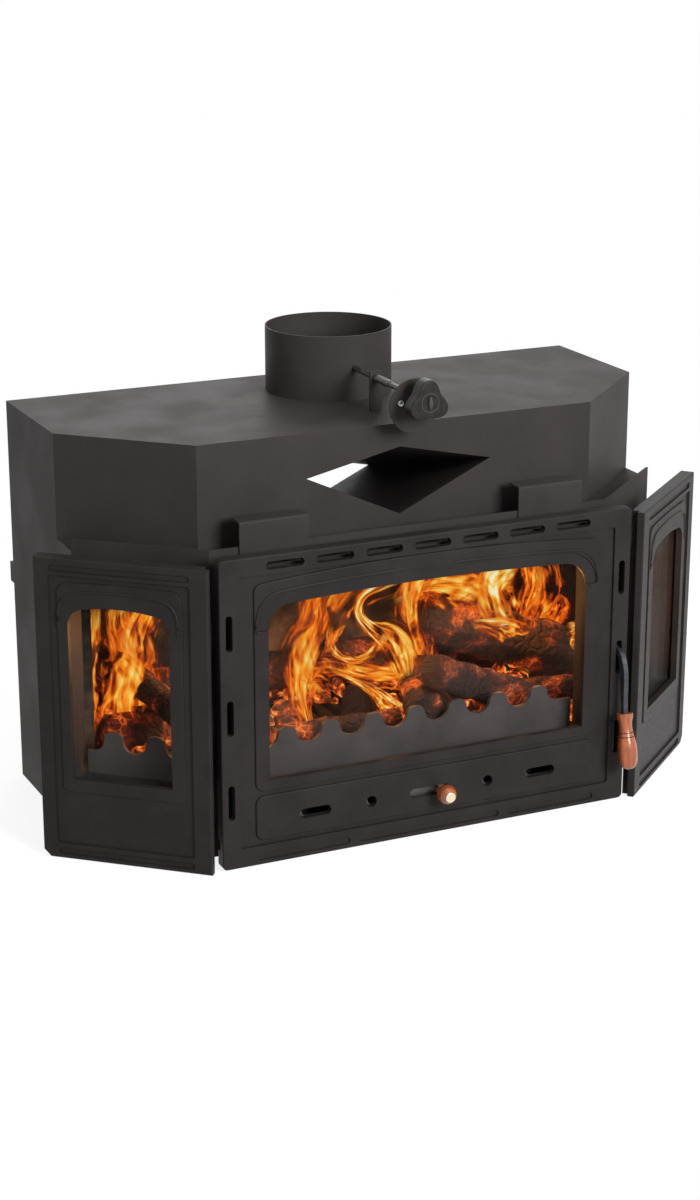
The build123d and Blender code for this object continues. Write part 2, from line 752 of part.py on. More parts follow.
def door_knuckles():
    """Hinge knuckles on the back of the door, each with its web."""
    knuckles = []
    for eye_low in EYE_LOWS:
        low = eye_low + EYE_L + HINGE_GAP
        top = low + KNUCKLE_L
        web = slab(rect(PIVOT_X - KNUCKLE_R, PIVOT_X + KNUCKLE_R, low, top), DOOR_PLATE, PIVOT_DEPTH)
        knuckle = rod_along_z(KNUCKLE_R, low, top, PIVOT_X, PIVOT_DEPTH) + web
        knuckles.append(knuckle - rod_along_z(HINGE_PIN_R + RUN, low, top, PIVOT_X, PIVOT_DEPTH))
    return knuckles


def latch_ears():
    """Two ears beside the latch's slot that hold its axle."""
    inner = LATCH_T / 2 + EAR_GAP
    ears = []
    for side in (-1, 1):
        near = LATCH_X + side * inner
        far = near + side * EAR_T
        outline = rect(min(near, far), max(near, far), LATCH_Z - EAR_H / 2, LATCH_Z + EAR_H / 2)
        ears.append(slab(outline, DOOR_PLATE, EAR_BACK))
    return ears


def clip_places():
    """Centre of each glass clip's boss, with the direction to the glass."""
    places = []
    for side in (-1, 1):
        for z in CLIP_SIDE_Z:
            places.append((side * (GLASS_HALF + BOSS_OUT), z, -side, 0))
        places.append((side * CLIP_TOP_X, GLASS_TOP + BOSS_OUT, 0, -1))
        places.append((side * CLIP_TOP_X, GLASS_LOW - BOSS_OUT, 0, 1))
    return places


def door_panel():
    door = door_blank() + door_rim()
    door = door - slab(window_outline(), 0, DOOR_PLATE)
    for outline in vent_outlines():
        door = door - slab(outline, 0, DOOR_PLATE)
    for outline in bottom_grooves():
        door = door - slab(outline, 0, GROOVE_DEEP)
    for x, z, _, _ in clip_places():
        boss = rod_along_y(BOSS_R, DOOR_PLATE, GLASS_BACK, x, z)
        door = door + (boss - rod_along_y(SCREW_R, DOOR_PLATE, GLASS_BACK, x, z))
    for piece in door_knuckles() + latch_ears():
        door = door + piece
    return door - latch_axle_bar()


def door_glass():
    return slab(rect(-GLASS_HALF, GLASS_HALF, GLASS_LOW, GLASS_TOP), GLASS_FRONT, GLASS_BACK)


def door_gasket():
    outside = rect(-GLASS_HALF, GLASS_HALF, GLASS_LOW, GLASS_TOP)
    ring = slab(outside, DOOR_PLATE, GLASS_FRONT)
    return ring - slab(window_outline(GASKET_LIP), DOOR_PLATE, GLASS_FRONT)


def glass_clips():
    clips = []
    for x, z, to_x, to_z in clip_places():
        reach = BOSS_OUT + CLIP_HOLD - CLIP_L / 2
        size = (CLIP_L, CLIP_W) if to_x else (CLIP_W, CLIP_L)
        outline = Pos(x + to_x * reach, z + to_z * reach) * Rectangle(*size)
        clip = slab(outline, GLASS_BACK, GLASS_BACK + CLIP_T)
        clips.append(clip - rod_along_y(SCREW_R, GLASS_BACK, GLASS_BACK + CLIP_T, x, z))
    return Compound(children=clips)


def clip_screws():
    screws = []
    head = GLASS_BACK + CLIP_T
    for x, z, _, _ in clip_places():
        shank = rod_along_y(SCREW_R, DOOR_PLATE, head, x, z)
        screws.append(shank + rod_along_y(BOSS_R, head, head + SCREW_HEAD_T, x, z))
    return Compound(children=screws)


def door_rope():
    """Sealing rope round the back of the door, with a rounded rear."""
    back = FLANGE_FRONT - ROPE_GAP
    outside = rect(-ROPE_HALF, ROPE_HALF, ROPE_LOW, ROPE_TOP, ROPE_W)
    inside = rect(
        -ROPE_HALF + ROPE_W, ROPE_HALF - ROPE_W, ROPE_LOW + ROPE_W, ROPE_TOP - ROPE_W, ROPE_W / 4,
    )
    ring = slab(outside, DOOR_PLATE, back) - slab(inside, DOOR_PLATE, back)
    return fillet(front_edges(ring, at(back)), ROPE_W / 4)


# Air slider

def slider_plate():
    half = SLIDER_H / 2
    outline = rect(SLIDER_LEFT, SLIDER_RIGHT, AIR_Z - half, AIR_Z + half)
    back = SLIDER_FRONT + SLIDER_T
    plate = slab(outline, SLIDER_FRONT, back)
    for port in air_ports(SLIDER_PORT):
        plate = plate - slab(port, SLIDER_FRONT, back)
    return plate - rod_along_y(STEM_R, SLIDER_FRONT, back, SLIDER_SHIFT, AIR_Z)


def slider_stem():
    return rod_along_y(STEM_R, SLIDER_KNOB_DEPTH, SLIDER_FRONT + SLIDER_T, SLIDER_SHIFT, AIR_Z)


def slider_knob():
    radius = SLIDER_KNOB_R
    centre = (SLIDER_SHIFT, at(SLIDER_KNOB_DEPTH), AIR_Z)
    ball = Pos(*centre) * Sphere(radius)
    front_cut = SLIDER_KNOB_DEPTH - math.sqrt(radius ** 2 - CAP_R ** 2)
    cap_room = rod_along_y(CAP_R, SLIDER_KNOB_DEPTH - radius, front_cut + CAP_T / 2, SLIDER_SHIFT, AIR_Z)
    neck_back = STEM_FRONT + radius / 2
    neck = rod_along_y(radius / 2, SLIDER_KNOB_DEPTH, neck_back, SLIDER_SHIFT, AIR_Z)
    bore = rod_along_y(STEM_R, SLIDER_KNOB_DEPTH, neck_back, SLIDER_SHIFT, AIR_Z)
    return ball + neck - cap_room - bore


def slider_cap():
    front_cut = SLIDER_KNOB_DEPTH - math.sqrt(SLIDER_KNOB_R ** 2 - CAP_R ** 2)
    cap = rod_along_y(CAP_R, front_cut - CAP_T / 2, front_cut + CAP_T / 2, SLIDER_SHIFT, AIR_Z)
    return fillet(front_edges(cap, at(front_cut - CAP_T / 2)), CAP_T / 3)


def slider_guides():
    """Hooked guides above and below the slider plate."""
    half = SLIDER_H / 2 + GUIDE_RUN
    lip_front = SLIDER_FRONT + SLIDER_T + GUIDE_RUN
    guides = []
    for x in GUIDE_XS:
        for side in (-1, 1):
            edge = AIR_Z + side * half
            far = edge + side * GUIDE_UP
            lip = edge - side * GUIDE_LIP
            left = x - GUIDE_W / 2
            right = x + GUIDE_W / 2
            body = slab(rect(left, right, min(edge, far), max(edge, far)), DOOR_PLATE, lip_front)
            hook = rect(left, right, min(lip, far), max(lip, far))
            guides.append(body + slab(hook, lip_front, lip_front + GUIDE_LIP))
    return Compound(children=guides)


# Latch

def latch_axle_bar():
    """The latch's axle, from ear to ear."""
    reach = LATCH_T / 2 + EAR_GAP + EAR_T
    side = Plane.YZ.offset(LATCH_X - reach)
    return extrude(side * Pos(at(LATCH_DEPTH), LATCH_Z) * Circle(LATCH_AXLE_R), 2 * reach)


def lever_outline():
    """Side view of the swan-necked lever, from its claw to the grip's stub."""
    pivot = Vector(at(LATCH_DEPTH), LATCH_Z)
    half = LEVER_W / 2
    end_half = LEVER_END_W / 2
    neck = Vector(at(NECK_DEPTH), NECK_Z)
    ferrule = Vector(at(FERRULE_DEPTH), FERRULE_Z)
    out_start = pivot + Vector(0, half)
    out_bend = neck + Vector(-half, half)
    tilt = end_half * math.tan(math.radians(GRIP_LEAN))
    out_end = ferrule + Vector(-end_half, tilt)
    in_start = pivot + Vector(-half, -half)
    in_bend = neck + Vector(half, -half)
    in_end = ferrule + Vector(end_half, -tilt)
    shoulder_out = Vector(at(0), LATCH_Z - LEVER_DROP + half)
    shoulder_in = Vector(at(0), LATCH_Z - LEVER_DROP - half)
    lines = [
        Line(out_start, shoulder_out),
        Spline(shoulder_out, out_bend, out_end, tangents=((-1, -0.15), (-0.12, -1))),
        Line(out_end, in_end),
        Spline(in_end, in_bend, shoulder_in, tangents=((0.12, 1), (1, 0.15))),
        Line(shoulder_in, in_start),
        Line(in_start, out_start),
    ]
    return make_face(Curve() + lines)


def latch_lever():
    side = Plane.YZ.offset(LATCH_X - LATCH_T / 2)
    y = at(LATCH_DEPTH)
    hub = extrude(side * Pos(y, LATCH_Z) * Circle(LATCH_HUB_R), LATCH_T)
    neck = extrude(side * lever_outline(), LATCH_T)
    arm = rect(y, y + CLAW_BACK, LATCH_Z - CLAW_UNDER, LATCH_Z - CLAW_OVER)
    claw = rect(y + CLAW_BACK - CLAW_W, y + CLAW_BACK, LATCH_Z - CLAW_UNDER, LATCH_Z - CLAW_OVER + CLAW_RISE)
    inside = extrude(side * arm, LATCH_T) + extrude(side * claw, LATCH_T)
    bore = extrude(side * Pos(y, LATCH_Z) * Circle(LATCH_AXLE_R + RUN), LATCH_T)
    return hub + neck + inside + grip_stub() - bore


def grip_plane():
    """Plane at the grip's top, square to its axis, which points down and outwards."""
    lean = math.radians(GRIP_LEAN)
    origin = (LATCH_X, at(FERRULE_DEPTH), FERRULE_Z)
    return Plane(origin=origin, x_dir=(1, 0, 0), z_dir=(0, -math.sin(lean), -math.cos(lean)))


def grip_stub():
    """Spigot that the grip is pushed on to."""
    length = GRIP_STUB_L + GRIP_STUB_ROOT
    return extrude(grip_plane().offset(-GRIP_STUB_ROOT) * Circle(GRIP_STUB_R), length)


def handle_grip():
    """Turned grip with a collar, a waist and a rounded belly."""
    profile = [
        Line((0, 0), (GRIP_COLLAR_R, 0)),
        Line((GRIP_COLLAR_R, 0), (GRIP_COLLAR_R, GRIP_COLLAR_L)),
        Spline(
            (GRIP_COLLAR_R, GRIP_COLLAR_L), (GRIP_NECK_R, GRIP_WAIST), (GRIP_R, GRIP_BELLY),
            tangents=((-0.4, 1), (0, 1)),
        ),
        Spline((GRIP_R, GRIP_BELLY), (0, GRIP_L), tangents=((0, 1), (-1, 0))),
        Line((0, GRIP_L), (0, 0)),
    ]
    axis_plane = grip_plane()
    half_section = Plane(
        origin=axis_plane.origin,
        x_dir=axis_plane.x_dir,
        z_dir=axis_plane.x_dir.cross(axis_plane.z_dir),
    )
    section = half_section * make_face(Curve() + profile)
    turned = revolve(section, Axis(axis_plane.origin, axis_plane.z_dir))
    return turned - extrude(axis_plane * Circle(GRIP_STUB_R), GRIP_STUB_L)


# Frame behind the door, with the hinge's fixed half and the keeper

def front_frame():
    """Sealing flange with two tubes that reach back to the casing."""
    back = FLANGE_FRONT + FLANGE_T
    flange = slab(rect(-FLANGE_HALF, FLANGE_HALF, FLANGE_LOW, FLANGE_TOP), FLANGE_FRONT, back)
    mouth = rect(-MOUTH_HALF, MOUTH_HALF, MOUTH_LOW, MOUTH_TOP, MOUTH_CORNER)
    ash = rect(-ASH_MOUTH_HALF, ASH_MOUTH_HALF, ASH_MOUTH_LOW, ASH_MOUTH_TOP)
    tube = rect(
        -MOUTH_HALF - SHEET, MOUTH_HALF + SHEET, MOUTH_LOW - SHEET, MOUTH_TOP + SHEET,
        MOUTH_CORNER + SHEET,
    )
    ash_tube = rect(
        -ASH_MOUTH_HALF - SHEET, ASH_MOUTH_HALF + SHEET,
        ASH_MOUTH_LOW - SHEET, ASH_MOUTH_TOP + SHEET,
    )
    frame = flange + slab(tube, back, CASE_FRONT) + slab(ash_tube, back, CASE_FRONT)
    return frame - slab(mouth, FLANGE_FRONT, CASE_FRONT) - slab(ash, FLANGE_FRONT, CASE_FRONT)


def hinge_brackets():
    """Eyes that carry the door, on arms from the flange's left edge."""
    flange_back = FLANGE_FRONT + FLANGE_T
    arm = [
        (PIVOT_X + ARM_NEAR, PIVOT_DEPTH + KNUCKLE_R),
        (PIVOT_X + KNUCKLE_R, PIVOT_DEPTH),
        (-FLANGE_HALF, FLANGE_FRONT),
        (-FLANGE_HALF, flange_back),
        (-FLANGE_HALF + ARM_GRIP, flange_back),
        (-FLANGE_HALF + ARM_GRIP, flange_back + ARM_T),
        (-FLANGE_HALF - ARM_T, flange_back + ARM_T),
    ]
    eyes = []
    for low in EYE_LOWS:
        eye = rod_along_z(KNUCKLE_R, low, low + EYE_L, PIVOT_X, PIVOT_DEPTH)
        eye = eye + plan(arm, low, low + EYE_L)
        eyes.append(eye - rod_along_z(HINGE_PIN_R, low, low + EYE_L, PIVOT_X, PIVOT_DEPTH))
    return Compound(children=eyes)


def hinge_pins():
    pins = []
    for low in EYE_LOWS:
        head_low = low + EYE_L + KNUCKLE_L + 2 * HINGE_GAP
        pin = rod_along_z(HINGE_PIN_R, low, head_low, PIVOT_X, PIVOT_DEPTH)
        head = rod_along_z(HINGE_HEAD_R, head_low, head_low + HINGE_HEAD_T, PIVOT_X, PIVOT_DEPTH)
        pins.append(pin + head)
    return Compound(children=pins)


def latch_keeper():
    low = LATCH_Z - CLAW_OVER + CLAW_RISE + KEEPER_GAP
    outline = rect(FLANGE_HALF, KEEPER_OUT, low, low + KEEPER_H)
    return slab(outline, FLANGE_FRONT, FLANGE_FRONT + FLANGE_T)


# Wings

def wing_right():
    """Cast side frame with a window, a sunk field and a raised surround."""
    plate = wing_slab(wing_outline(), 0, WING_PLATE)
    plate = fillet(wing_front_edges(plate, 0), DOOR_EDGE)
    plate = plate - wing_slab(rect(*WING_FIELD, FIELD_CORNER), 0, WING_FIELD_DEEP)
    left, right, low, top = WING_FRAME
    surround = arched(left, right, low, top, WING_FRAME_CROWN, WING_FRAME_CORNER, WING_FRAME_CORNER / 2)
    raised = wing_slab(surround, FRAME_FACE, WING_PLATE)
    raised = fillet(wing_front_edges(raised, FRAME_FACE), RAISED_EDGE / 2)
    wing = plate + raised + wing_rim()
    wing = wing - wing_slab(wing_window_outline(), 0, WING_PLATE)
    groove_l = WING_GROOVE[1] - WING_GROOVE[0]
    groove_x = (WING_GROOVE[1] + WING_GROOVE[0]) / 2
    for z, height in ((WING_SLOT_Z, WING_SLOT_H), (WING_BAR_Z, WING_BAR_H)):
        groove = Pos(groove_x, z) * SlotOverall(groove_l, height)
        wing = wing - wing_slab(groove, 0, GROOVE_DEEP)
    for x, z in wing_bolt_places():
        boss = Pos(x, z) * Circle(WING_BOSS_R) - Pos(x, z) * Circle(BOLT_R)
        wing = wing + wing_slab(boss, WING_PLATE, WING_SEAT)
    return wing


def wing_outline():
    points = [
        (0, WING_LOW),
        (WING_L - WING_CHAMFER, WING_LOW),
        (WING_L, WING_LOW + WING_CHAMFER),
        (WING_L, WING_TOP),
        (0, WING_TOP),
    ]
    return make_face(Polyline(*points, close=True))


def wing_front_edges(solid, depth):
    """Edges in the plane this deep behind the wing's face."""
    normal = WING_PLANE.z_dir

    def in_plane(edge):
        ends = [edge @ 0, edge @ 0.5, edge @ 1]
        return all(abs((end - WING_PLANE.origin).dot(normal) + depth) < NEARLY for end in ends)

    return solid.edges().filter_by(in_plane)


def wing_rim():
    left = WING_RIM_SET + WING_RIM
    inner = rect(left, WING_L - WING_RIM, WING_LOW + WING_RIM, WING_TOP - WING_RIM)
    corner = [
        (WING_L - WING_CHAMFER - 2 * WING_RIM, WING_LOW),
        (WING_L, WING_LOW),
        (WING_L, WING_LOW + WING_CHAMFER + 2 * WING_RIM),
    ]
    inner = inner - make_face(Polyline(*corner, close=True))
    outline = wing_outline() - rect(0, WING_RIM_SET, WING_LOW, WING_TOP)
    rim = wing_slab(outline, WING_PLATE, WING_DEEP)
    return rim - wing_slab(inner, WING_PLATE, WING_DEEP)


def wing_bolt_places():
    left, right, low, top = WING_WINDOW
    over = WING_TUBE_OVER + WING_FLANGE_OUT - WING_BOSS_IN
    return [(x, z) for x in (left - over, right + over) for z in (low - over, top + over)]


def wing_glass_right():
    return wing_slab(wing_rect(WING_GLASS_OVER), WING_PLATE + GASKET_T, WING_SEAT)


def wing_gaskets():
    outside = wing_rect(WING_GLASS_OVER)
    ring = wing_slab(outside, WING_PLATE, WING_PLATE + GASKET_T)
    ring = ring - wing_slab(wing_window_outline(GASKET_LIP), WING_PLATE, WING_PLATE + GASKET_T)
    return Compound(children=[ring, mirrored(ring)])


def wing_frame_right():
    """Flanged tube that clamps the glass and reaches back to the casing."""
    back = WING_SEAT + SHEET
    flange = wing_rect(WING_TUBE_OVER + WING_FLANGE_OUT)
    tube = wing_rect(WING_TUBE_OVER, MOUTH_CORNER + SHEET)
    mouth = wing_rect(WING_TUBE_OVER - SHEET, MOUTH_CORNER)
    frame = wing_slab(flange, WING_SEAT, back) + wing_slab(tube, back, WING_TO_WALL)
    frame = frame - wing_slab(mouth, WING_SEAT, WING_TO_WALL)
    for x, z in wing_bolt_places():
        frame = frame - wing_slab(Pos(x, z) * Circle(BOLT_R), WING_SEAT, back)
    return frame


def wing_bolts():
    bolts = []
    back = WING_SEAT + SHEET
    for x, z in wing_bolt_places():
        shank = wing_slab(Pos(x, z) * Circle(BOLT_R), WING_PLATE, back)
        bolt = shank + wing_slab(Pos(x, z) * Circle(BOLT_HEAD_R), back, back + BOLT_HEAD_T)
        bolts.append(bolt)
        bolts.append(mirrored(bolt))
    return Compound(children=bolts)


# Inside the firebox

def fire_floor():
    whole = plan(inset(CASE_PLAN, SHEET), FLOOR_LOW, FLOOR_TOP)
    hole_half = GRATE_HALF - GRATE_LIP
    hole = [
        (-hole_half, GRATE_NEAR + GRATE_LIP),
        (hole_half, GRATE_NEAR + GRATE_LIP),
        (hole_half, GRATE_FAR - GRATE_LIP),
        (-hole_half, GRATE_FAR - GRATE_LIP),
    ]
    return whole - plan(hole, FLOOR_LOW, FLOOR_TOP)


def grate():
    """Lift-out cast grate that hangs in the floor by its lip."""
    middle = (GRATE_NEAR + GRATE_FAR) / 2
    width = 2 * GRATE_HALF
    depth = GRATE_FAR - GRATE_NEAR
    inward = 2 * (GRATE_LIP + GRATE_PLAY)
    lip = Pos(0, at(middle), FLOOR_TOP + GRATE_LIP_T / 2) * Box(width, depth, GRATE_LIP_T)
    body_t = FLOOR_TOP - FLOOR_LOW + GRATE_LIP_T
    body_z = FLOOR_TOP - body_t / 2
    body = Pos(0, at(middle), body_z) * Box(width - inward, depth - inward, body_t)
    plate = lip + body
    pitch = (width - inward) / (GRATE_BARS + 1)
    slot_l = depth - inward - 2 * GRATE_SLOT
    slot_low = FLOOR_TOP - body_t
    slot_deep = body_t + GRATE_LIP_T
    for i in range(GRATE_BARS):
        x = (i - (GRATE_BARS - 1) / 2) * pitch
        slot = Pos(x, at(middle)) * SlotOverall(slot_l, GRATE_SLOT, rotation=90)
        plate = plate - extrude(Plane.XY.offset(slot_low) * slot, slot_deep)
    return plate


def rear_brick():
    half = CASE_HALF - SHEET
    back = CASE_DEPTH - SHEET
    return slab(rect(-half, half, FLOOR_TOP, BRICK_TOP), back - BRICK_T, back)


def side_brick_right():
    outer = CASE_HALF - SHEET
    back = CASE_DEPTH - SHEET - BRICK_T
    return slab(rect(outer - BRICK_T, outer, FLOOR_TOP, BRICK_TOP), BRICK_NEAR, back)


def baffle():
    half = CASE_HALF - SHEET
    return slab(rect(-half, half, BRICK_TOP, BRICK_TOP + BAFFLE_T), BRICK_NEAR, CASE_DEPTH - SHEET)


def scalloped(half, low, valley, top, pitch, crests, middle=0.0):
    """A guard's outline: a bar with rounded crests and hollows along its top."""
    hollow = (pitch - GUARD_CREST_W) / 2
    level = valley + hollow
    shape = rect(middle - half, middle + half, low, level)
    for i in range(crests + 1):
        shape = shape - Pos(middle + (i - crests / 2) * pitch, level) * Circle(hollow)
    reach = crests / 2 * pitch
    shape = shape - rect(middle + reach, middle + half, valley, level)
    shape = shape - rect(middle - half, middle - reach, valley, level)
    for i in range(crests):
        x = middle + (i - (crests - 1) / 2) * pitch
        left = x - GUARD_CREST_W / 2
        right = x + GUARD_CREST_W / 2
        shape = shape + arched(left, right, low, top, top + CREST_CROWN, GUARD_CREST_W / 3)
    return shape


def log_guard_front():
    outline = scalloped(
        GUARD_HALF, MOUTH_LOW, GUARD_VALLEY, GUARD_TOP, GUARD_PITCH, CREST_COUNT,
    )
    return slab(outline, GUARD_BACK - GUARD_T, GUARD_BACK)


def log_guards_side():
    left, right, low, _ = WING_WINDOW
    half = (right - left) / 2 + WING_TUBE_OVER - SHEET - MOUTH_CORNER
    floor = low - WING_TUBE_OVER + SHEET
    outline = scalloped(
        half, floor, WING_GUARD_VALLEY, WING_GUARD_TOP, WING_GUARD_PITCH, WING_CREST_COUNT,
        (left + right) / 2,
    )
    guard = wing_slab(outline, WING_GUARD_DEPTH, WING_GUARD_DEPTH + GUARD_T)
    return Compound(children=[guard, mirrored(guard)])


def ash_pan():
    """Folded tray with a turned lip at its front."""
    outside = [(-PAN_HALF, PAN_NEAR), (PAN_HALF, PAN_NEAR), (PAN_HALF, PAN_FAR), (-PAN_HALF, PAN_FAR)]
    tray = plan(outside, PAN_LOW, PAN_TOP)
    tray = fillet(tray.edges().filter_by(Axis.Z), PAN_CORNER)
    hollow = plan(inset(outside, PAN_T), PAN_LOW + PAN_T, PAN_TOP)
    hollow = fillet(hollow.edges().filter_by(Axis.Z), PAN_CORNER - PAN_T)
    lip_low = (PAN_LOW + PAN_TOP) / 2
    lip = slab(rect(-PAN_HALF / 4, PAN_HALF / 4, lip_low, lip_low + PAN_T), PAN_NEAR - PAN_LIP, PAN_NEAR)
    return tray - hollow + lip


def ash_pan_runners():
    right = slab(
        rect(RUNNER_X - RUNNER_W / 2, RUNNER_X + RUNNER_W / 2, BASE_T, PAN_LOW - RUNNER_GAP),
        CASE_FRONT + SHEET, PAN_FAR,
    )
    return Compound(children=[right, mirrored(right)])


# Every piece under its own name

PIECES = {
    "base_plate": base_plate(),
    "back_wall": back_wall(),
    "side_wall_right": side_wall_right(),
    "side_wall_left": mirrored(side_wall_right()),
    "front_wall": front_wall(),
    "angled_wall_right": angled_wall_right(),
    "angled_wall_left": mirrored(angled_wall_right()),
    "ledge_plate": ledge_plate(),
    "hood_front": hood_front(),
    "hood_chamfer_right": hood_chamfer_right(),
    "hood_chamfer_left": mirrored(hood_chamfer_right()),
    "hood_top": hood_top(),
    "warm_air_duct": warm_air_duct(),
    "rear_lugs": rear_lugs(),
    "lintel_bracket_right": lintel_bracket_right(),
    "lintel_bracket_left": mirrored(lintel_bracket_right()),
    "flue_collar": flue_collar(),
    "damper_bracket": damper_bracket(),
    "damper_rod": damper_rod(),
    "damper_plate": damper_plate(),
    "damper_sleeve": damper_sleeve(),
    "damper_shield": damper_shield(),
    "damper_knob": damper_knob(),
    "door_panel": door_panel(),
    "door_glass": door_glass(),
    "door_gasket": door_gasket(),
    "door_rope": door_rope(),
    "glass_clips": glass_clips(),
    "clip_screws": clip_screws(),
    "slider_plate": slider_plate(),
    "slider_stem": slider_stem(),
    "slider_knob": slider_knob(),
    "slider_cap": slider_cap(),
    "slider_guides": slider_guides(),
    "latch_axle": latch_axle_bar(),
    "latch_lever": latch_lever(),
    "handle_grip": handle_grip(),
    "front_frame": front_frame(),
    "hinge_brackets": hinge_brackets(),
    "hinge_pins": hinge_pins(),
    "latch_keeper": latch_keeper(),
    "wing_right": wing_right(),
    "wing_left": mirrored(wing_right()),
    "wing_glass_right": wing_glass_right(),
    "wing_glass_left": mirrored(wing_glass_right()),
    "wing_gaskets": wing_gaskets(),
    "wing_frame_right": wing_frame_right(),
    "wing_frame_left": mirrored(wing_frame_right()),
    "wing_bolts": wing_bolts(),
    "fire_floor": fire_floor(),
    "grate": grate(),
    "rear_brick": rear_brick(),
    "side_brick_right": side_brick_right(),
    "side_brick_left": mirrored(side_brick_right()),
    "baffle": baffle(),
    "log_guard_front": log_guard_front(),
    "log_guards_side": log_guards_side(),
    "ash_pan": ash_pan(),
    "ash_pan_runners": ash_pan_runners(),
}

os.makedirs("parts", exist_ok=True)
for name, piece in PIECES.items():
    export_step(piece, f"parts/{name}.step")
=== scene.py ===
"""Fireplace insert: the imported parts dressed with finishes, a log fire and a plain studio.

Metres, X to the right, Y to the rear, Z up. The origin is where the flue's axis
meets the underside of the base.
"""

import json
import math
import random

import bmesh
import bpy
from bpy.props import (
    FloatProperty,
    FloatVectorProperty,
    IntProperty,
    PointerProperty,
)
from mathutils import Matrix, Vector


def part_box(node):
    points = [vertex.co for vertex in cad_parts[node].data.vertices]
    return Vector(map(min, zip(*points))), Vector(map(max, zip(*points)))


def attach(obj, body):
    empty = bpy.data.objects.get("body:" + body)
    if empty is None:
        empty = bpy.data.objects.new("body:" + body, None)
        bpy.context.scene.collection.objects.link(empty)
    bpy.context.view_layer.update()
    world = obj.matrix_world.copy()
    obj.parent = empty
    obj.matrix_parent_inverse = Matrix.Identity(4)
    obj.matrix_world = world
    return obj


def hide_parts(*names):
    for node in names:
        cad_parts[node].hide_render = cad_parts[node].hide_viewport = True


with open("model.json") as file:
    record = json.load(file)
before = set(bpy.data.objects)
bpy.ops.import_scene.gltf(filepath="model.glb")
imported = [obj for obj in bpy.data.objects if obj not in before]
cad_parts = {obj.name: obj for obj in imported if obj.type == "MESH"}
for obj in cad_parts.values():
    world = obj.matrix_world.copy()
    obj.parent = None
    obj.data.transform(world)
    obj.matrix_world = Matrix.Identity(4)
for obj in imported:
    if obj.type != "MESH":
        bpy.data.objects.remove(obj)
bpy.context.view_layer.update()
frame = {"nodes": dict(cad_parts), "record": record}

bl_info = {
    "name": "Fireplace insert",
    "version": (1, 0, 0),
    "blender": (4, 5, 0),
    "location": "3D View > Sidebar > Fireplace",
    "description": "Dresses a fireplace insert and lights its fire",
    "category": "Add Mesh",
}

FLUE_BACK = 0.337            # flue axis behind the door's face
EYE = Vector((-1.3932, -2.7492 - FLUE_BACK, 1.3391))
VIEW_YAW = 0.433208          # radians, to the right of straight ahead
VIEW_PITCH = 0.313386        # radians, downwards
FOCAL_PIXELS = 2419.83       # focal length in pixels of the picture's height
PICTURE_HEIGHT = 1200.0
SENSOR_HEIGHT = 36.0
WING_ANGLE = math.radians(41.15)
WING_START = Vector((0.3245, -0.0042 - FLUE_BACK, 0.0))
FLOOR_TOP = 0.092
GRATE_TOP = 0.096
GRATE_HALF = 0.150           # half width and near edge, with a coal's radius to spare
GRATE_NEAR = 0.180
FLAME_TOP = 0.326            # just under the baffle


# Sizes and colours


class FireplaceSettings(bpy.types.PropertyGroup):
    """Sizes and colours of the insert's finishes, fire and studio."""

    paint_colour: FloatVectorProperty(
        name="Casing paint", description="Heat-resistant paint on the sheet steel",
        subtype="COLOR", size=3, min=0.0, max=1.0, default=(0.050, 0.0435, 0.0415),
    )
    casting_colour: FloatVectorProperty(
        name="Casting paint", description="Paint on the cast door and side fronts",
        subtype="COLOR", size=3, min=0.0, max=1.0, default=(0.031, 0.0275, 0.0265),
    )
    wood_colour: FloatVectorProperty(
        name="Wood", description="Stained and varnished wood of the grip and knob",
        subtype="COLOR", size=3, min=0.0, max=1.0, default=(0.50, 0.12, 0.028),
    )
    brick_colour: FloatVectorProperty(
        name="Firebrick", description="Clean colour of the refractory boards",
        subtype="COLOR", size=3, min=0.0, max=1.0, default=(0.20, 0.125, 0.075),
    )
    ridge_width: FloatProperty(
        name="Ridge width", description="Width of the raised ridge round the windows",
        subtype="DISTANCE", unit="LENGTH", min=0.001, max=0.01, default=0.0042,
    )
    fire_strength: FloatProperty(
        name="Fire strength", description="Brightness of the flames",
        min=0.0, max=20.0, default=1.0,
    )
    fire_seed: IntProperty(
        name="Fire seed", description="Chooses the small shapes of the embers",
        min=0, max=9999, default=17,
    )
    background: FloatProperty(
        name="Background", description="Grey level of the backdrop seen by the camera",
        min=0.0, max=1.0, default=1.0,
    )


def settings():
    return bpy.context.scene.fireplace


# Node materials


class Socket:
    """A node's output that can be used in sums."""

    def __init__(self, material, output):
        self.material = material
        self.output = output

    def _maths(self, operation, first, second):
        return self.material.add("ShaderNodeMath", {"operation": operation}, {0: first, 1: second})

    def __add__(self, other):
        return self._maths("ADD", self, other)

    def __radd__(self, other):
        return self._maths("ADD", other, self)

    def __sub__(self, other):
        return self._maths("SUBTRACT", self, other)

    def __rsub__(self, other):
        return self._maths("SUBTRACT", other, self)

    def __mul__(self, other):
        return self._maths("MULTIPLY", self, other)

    def __rmul__(self, other):
        return self._maths("MULTIPLY", other, self)


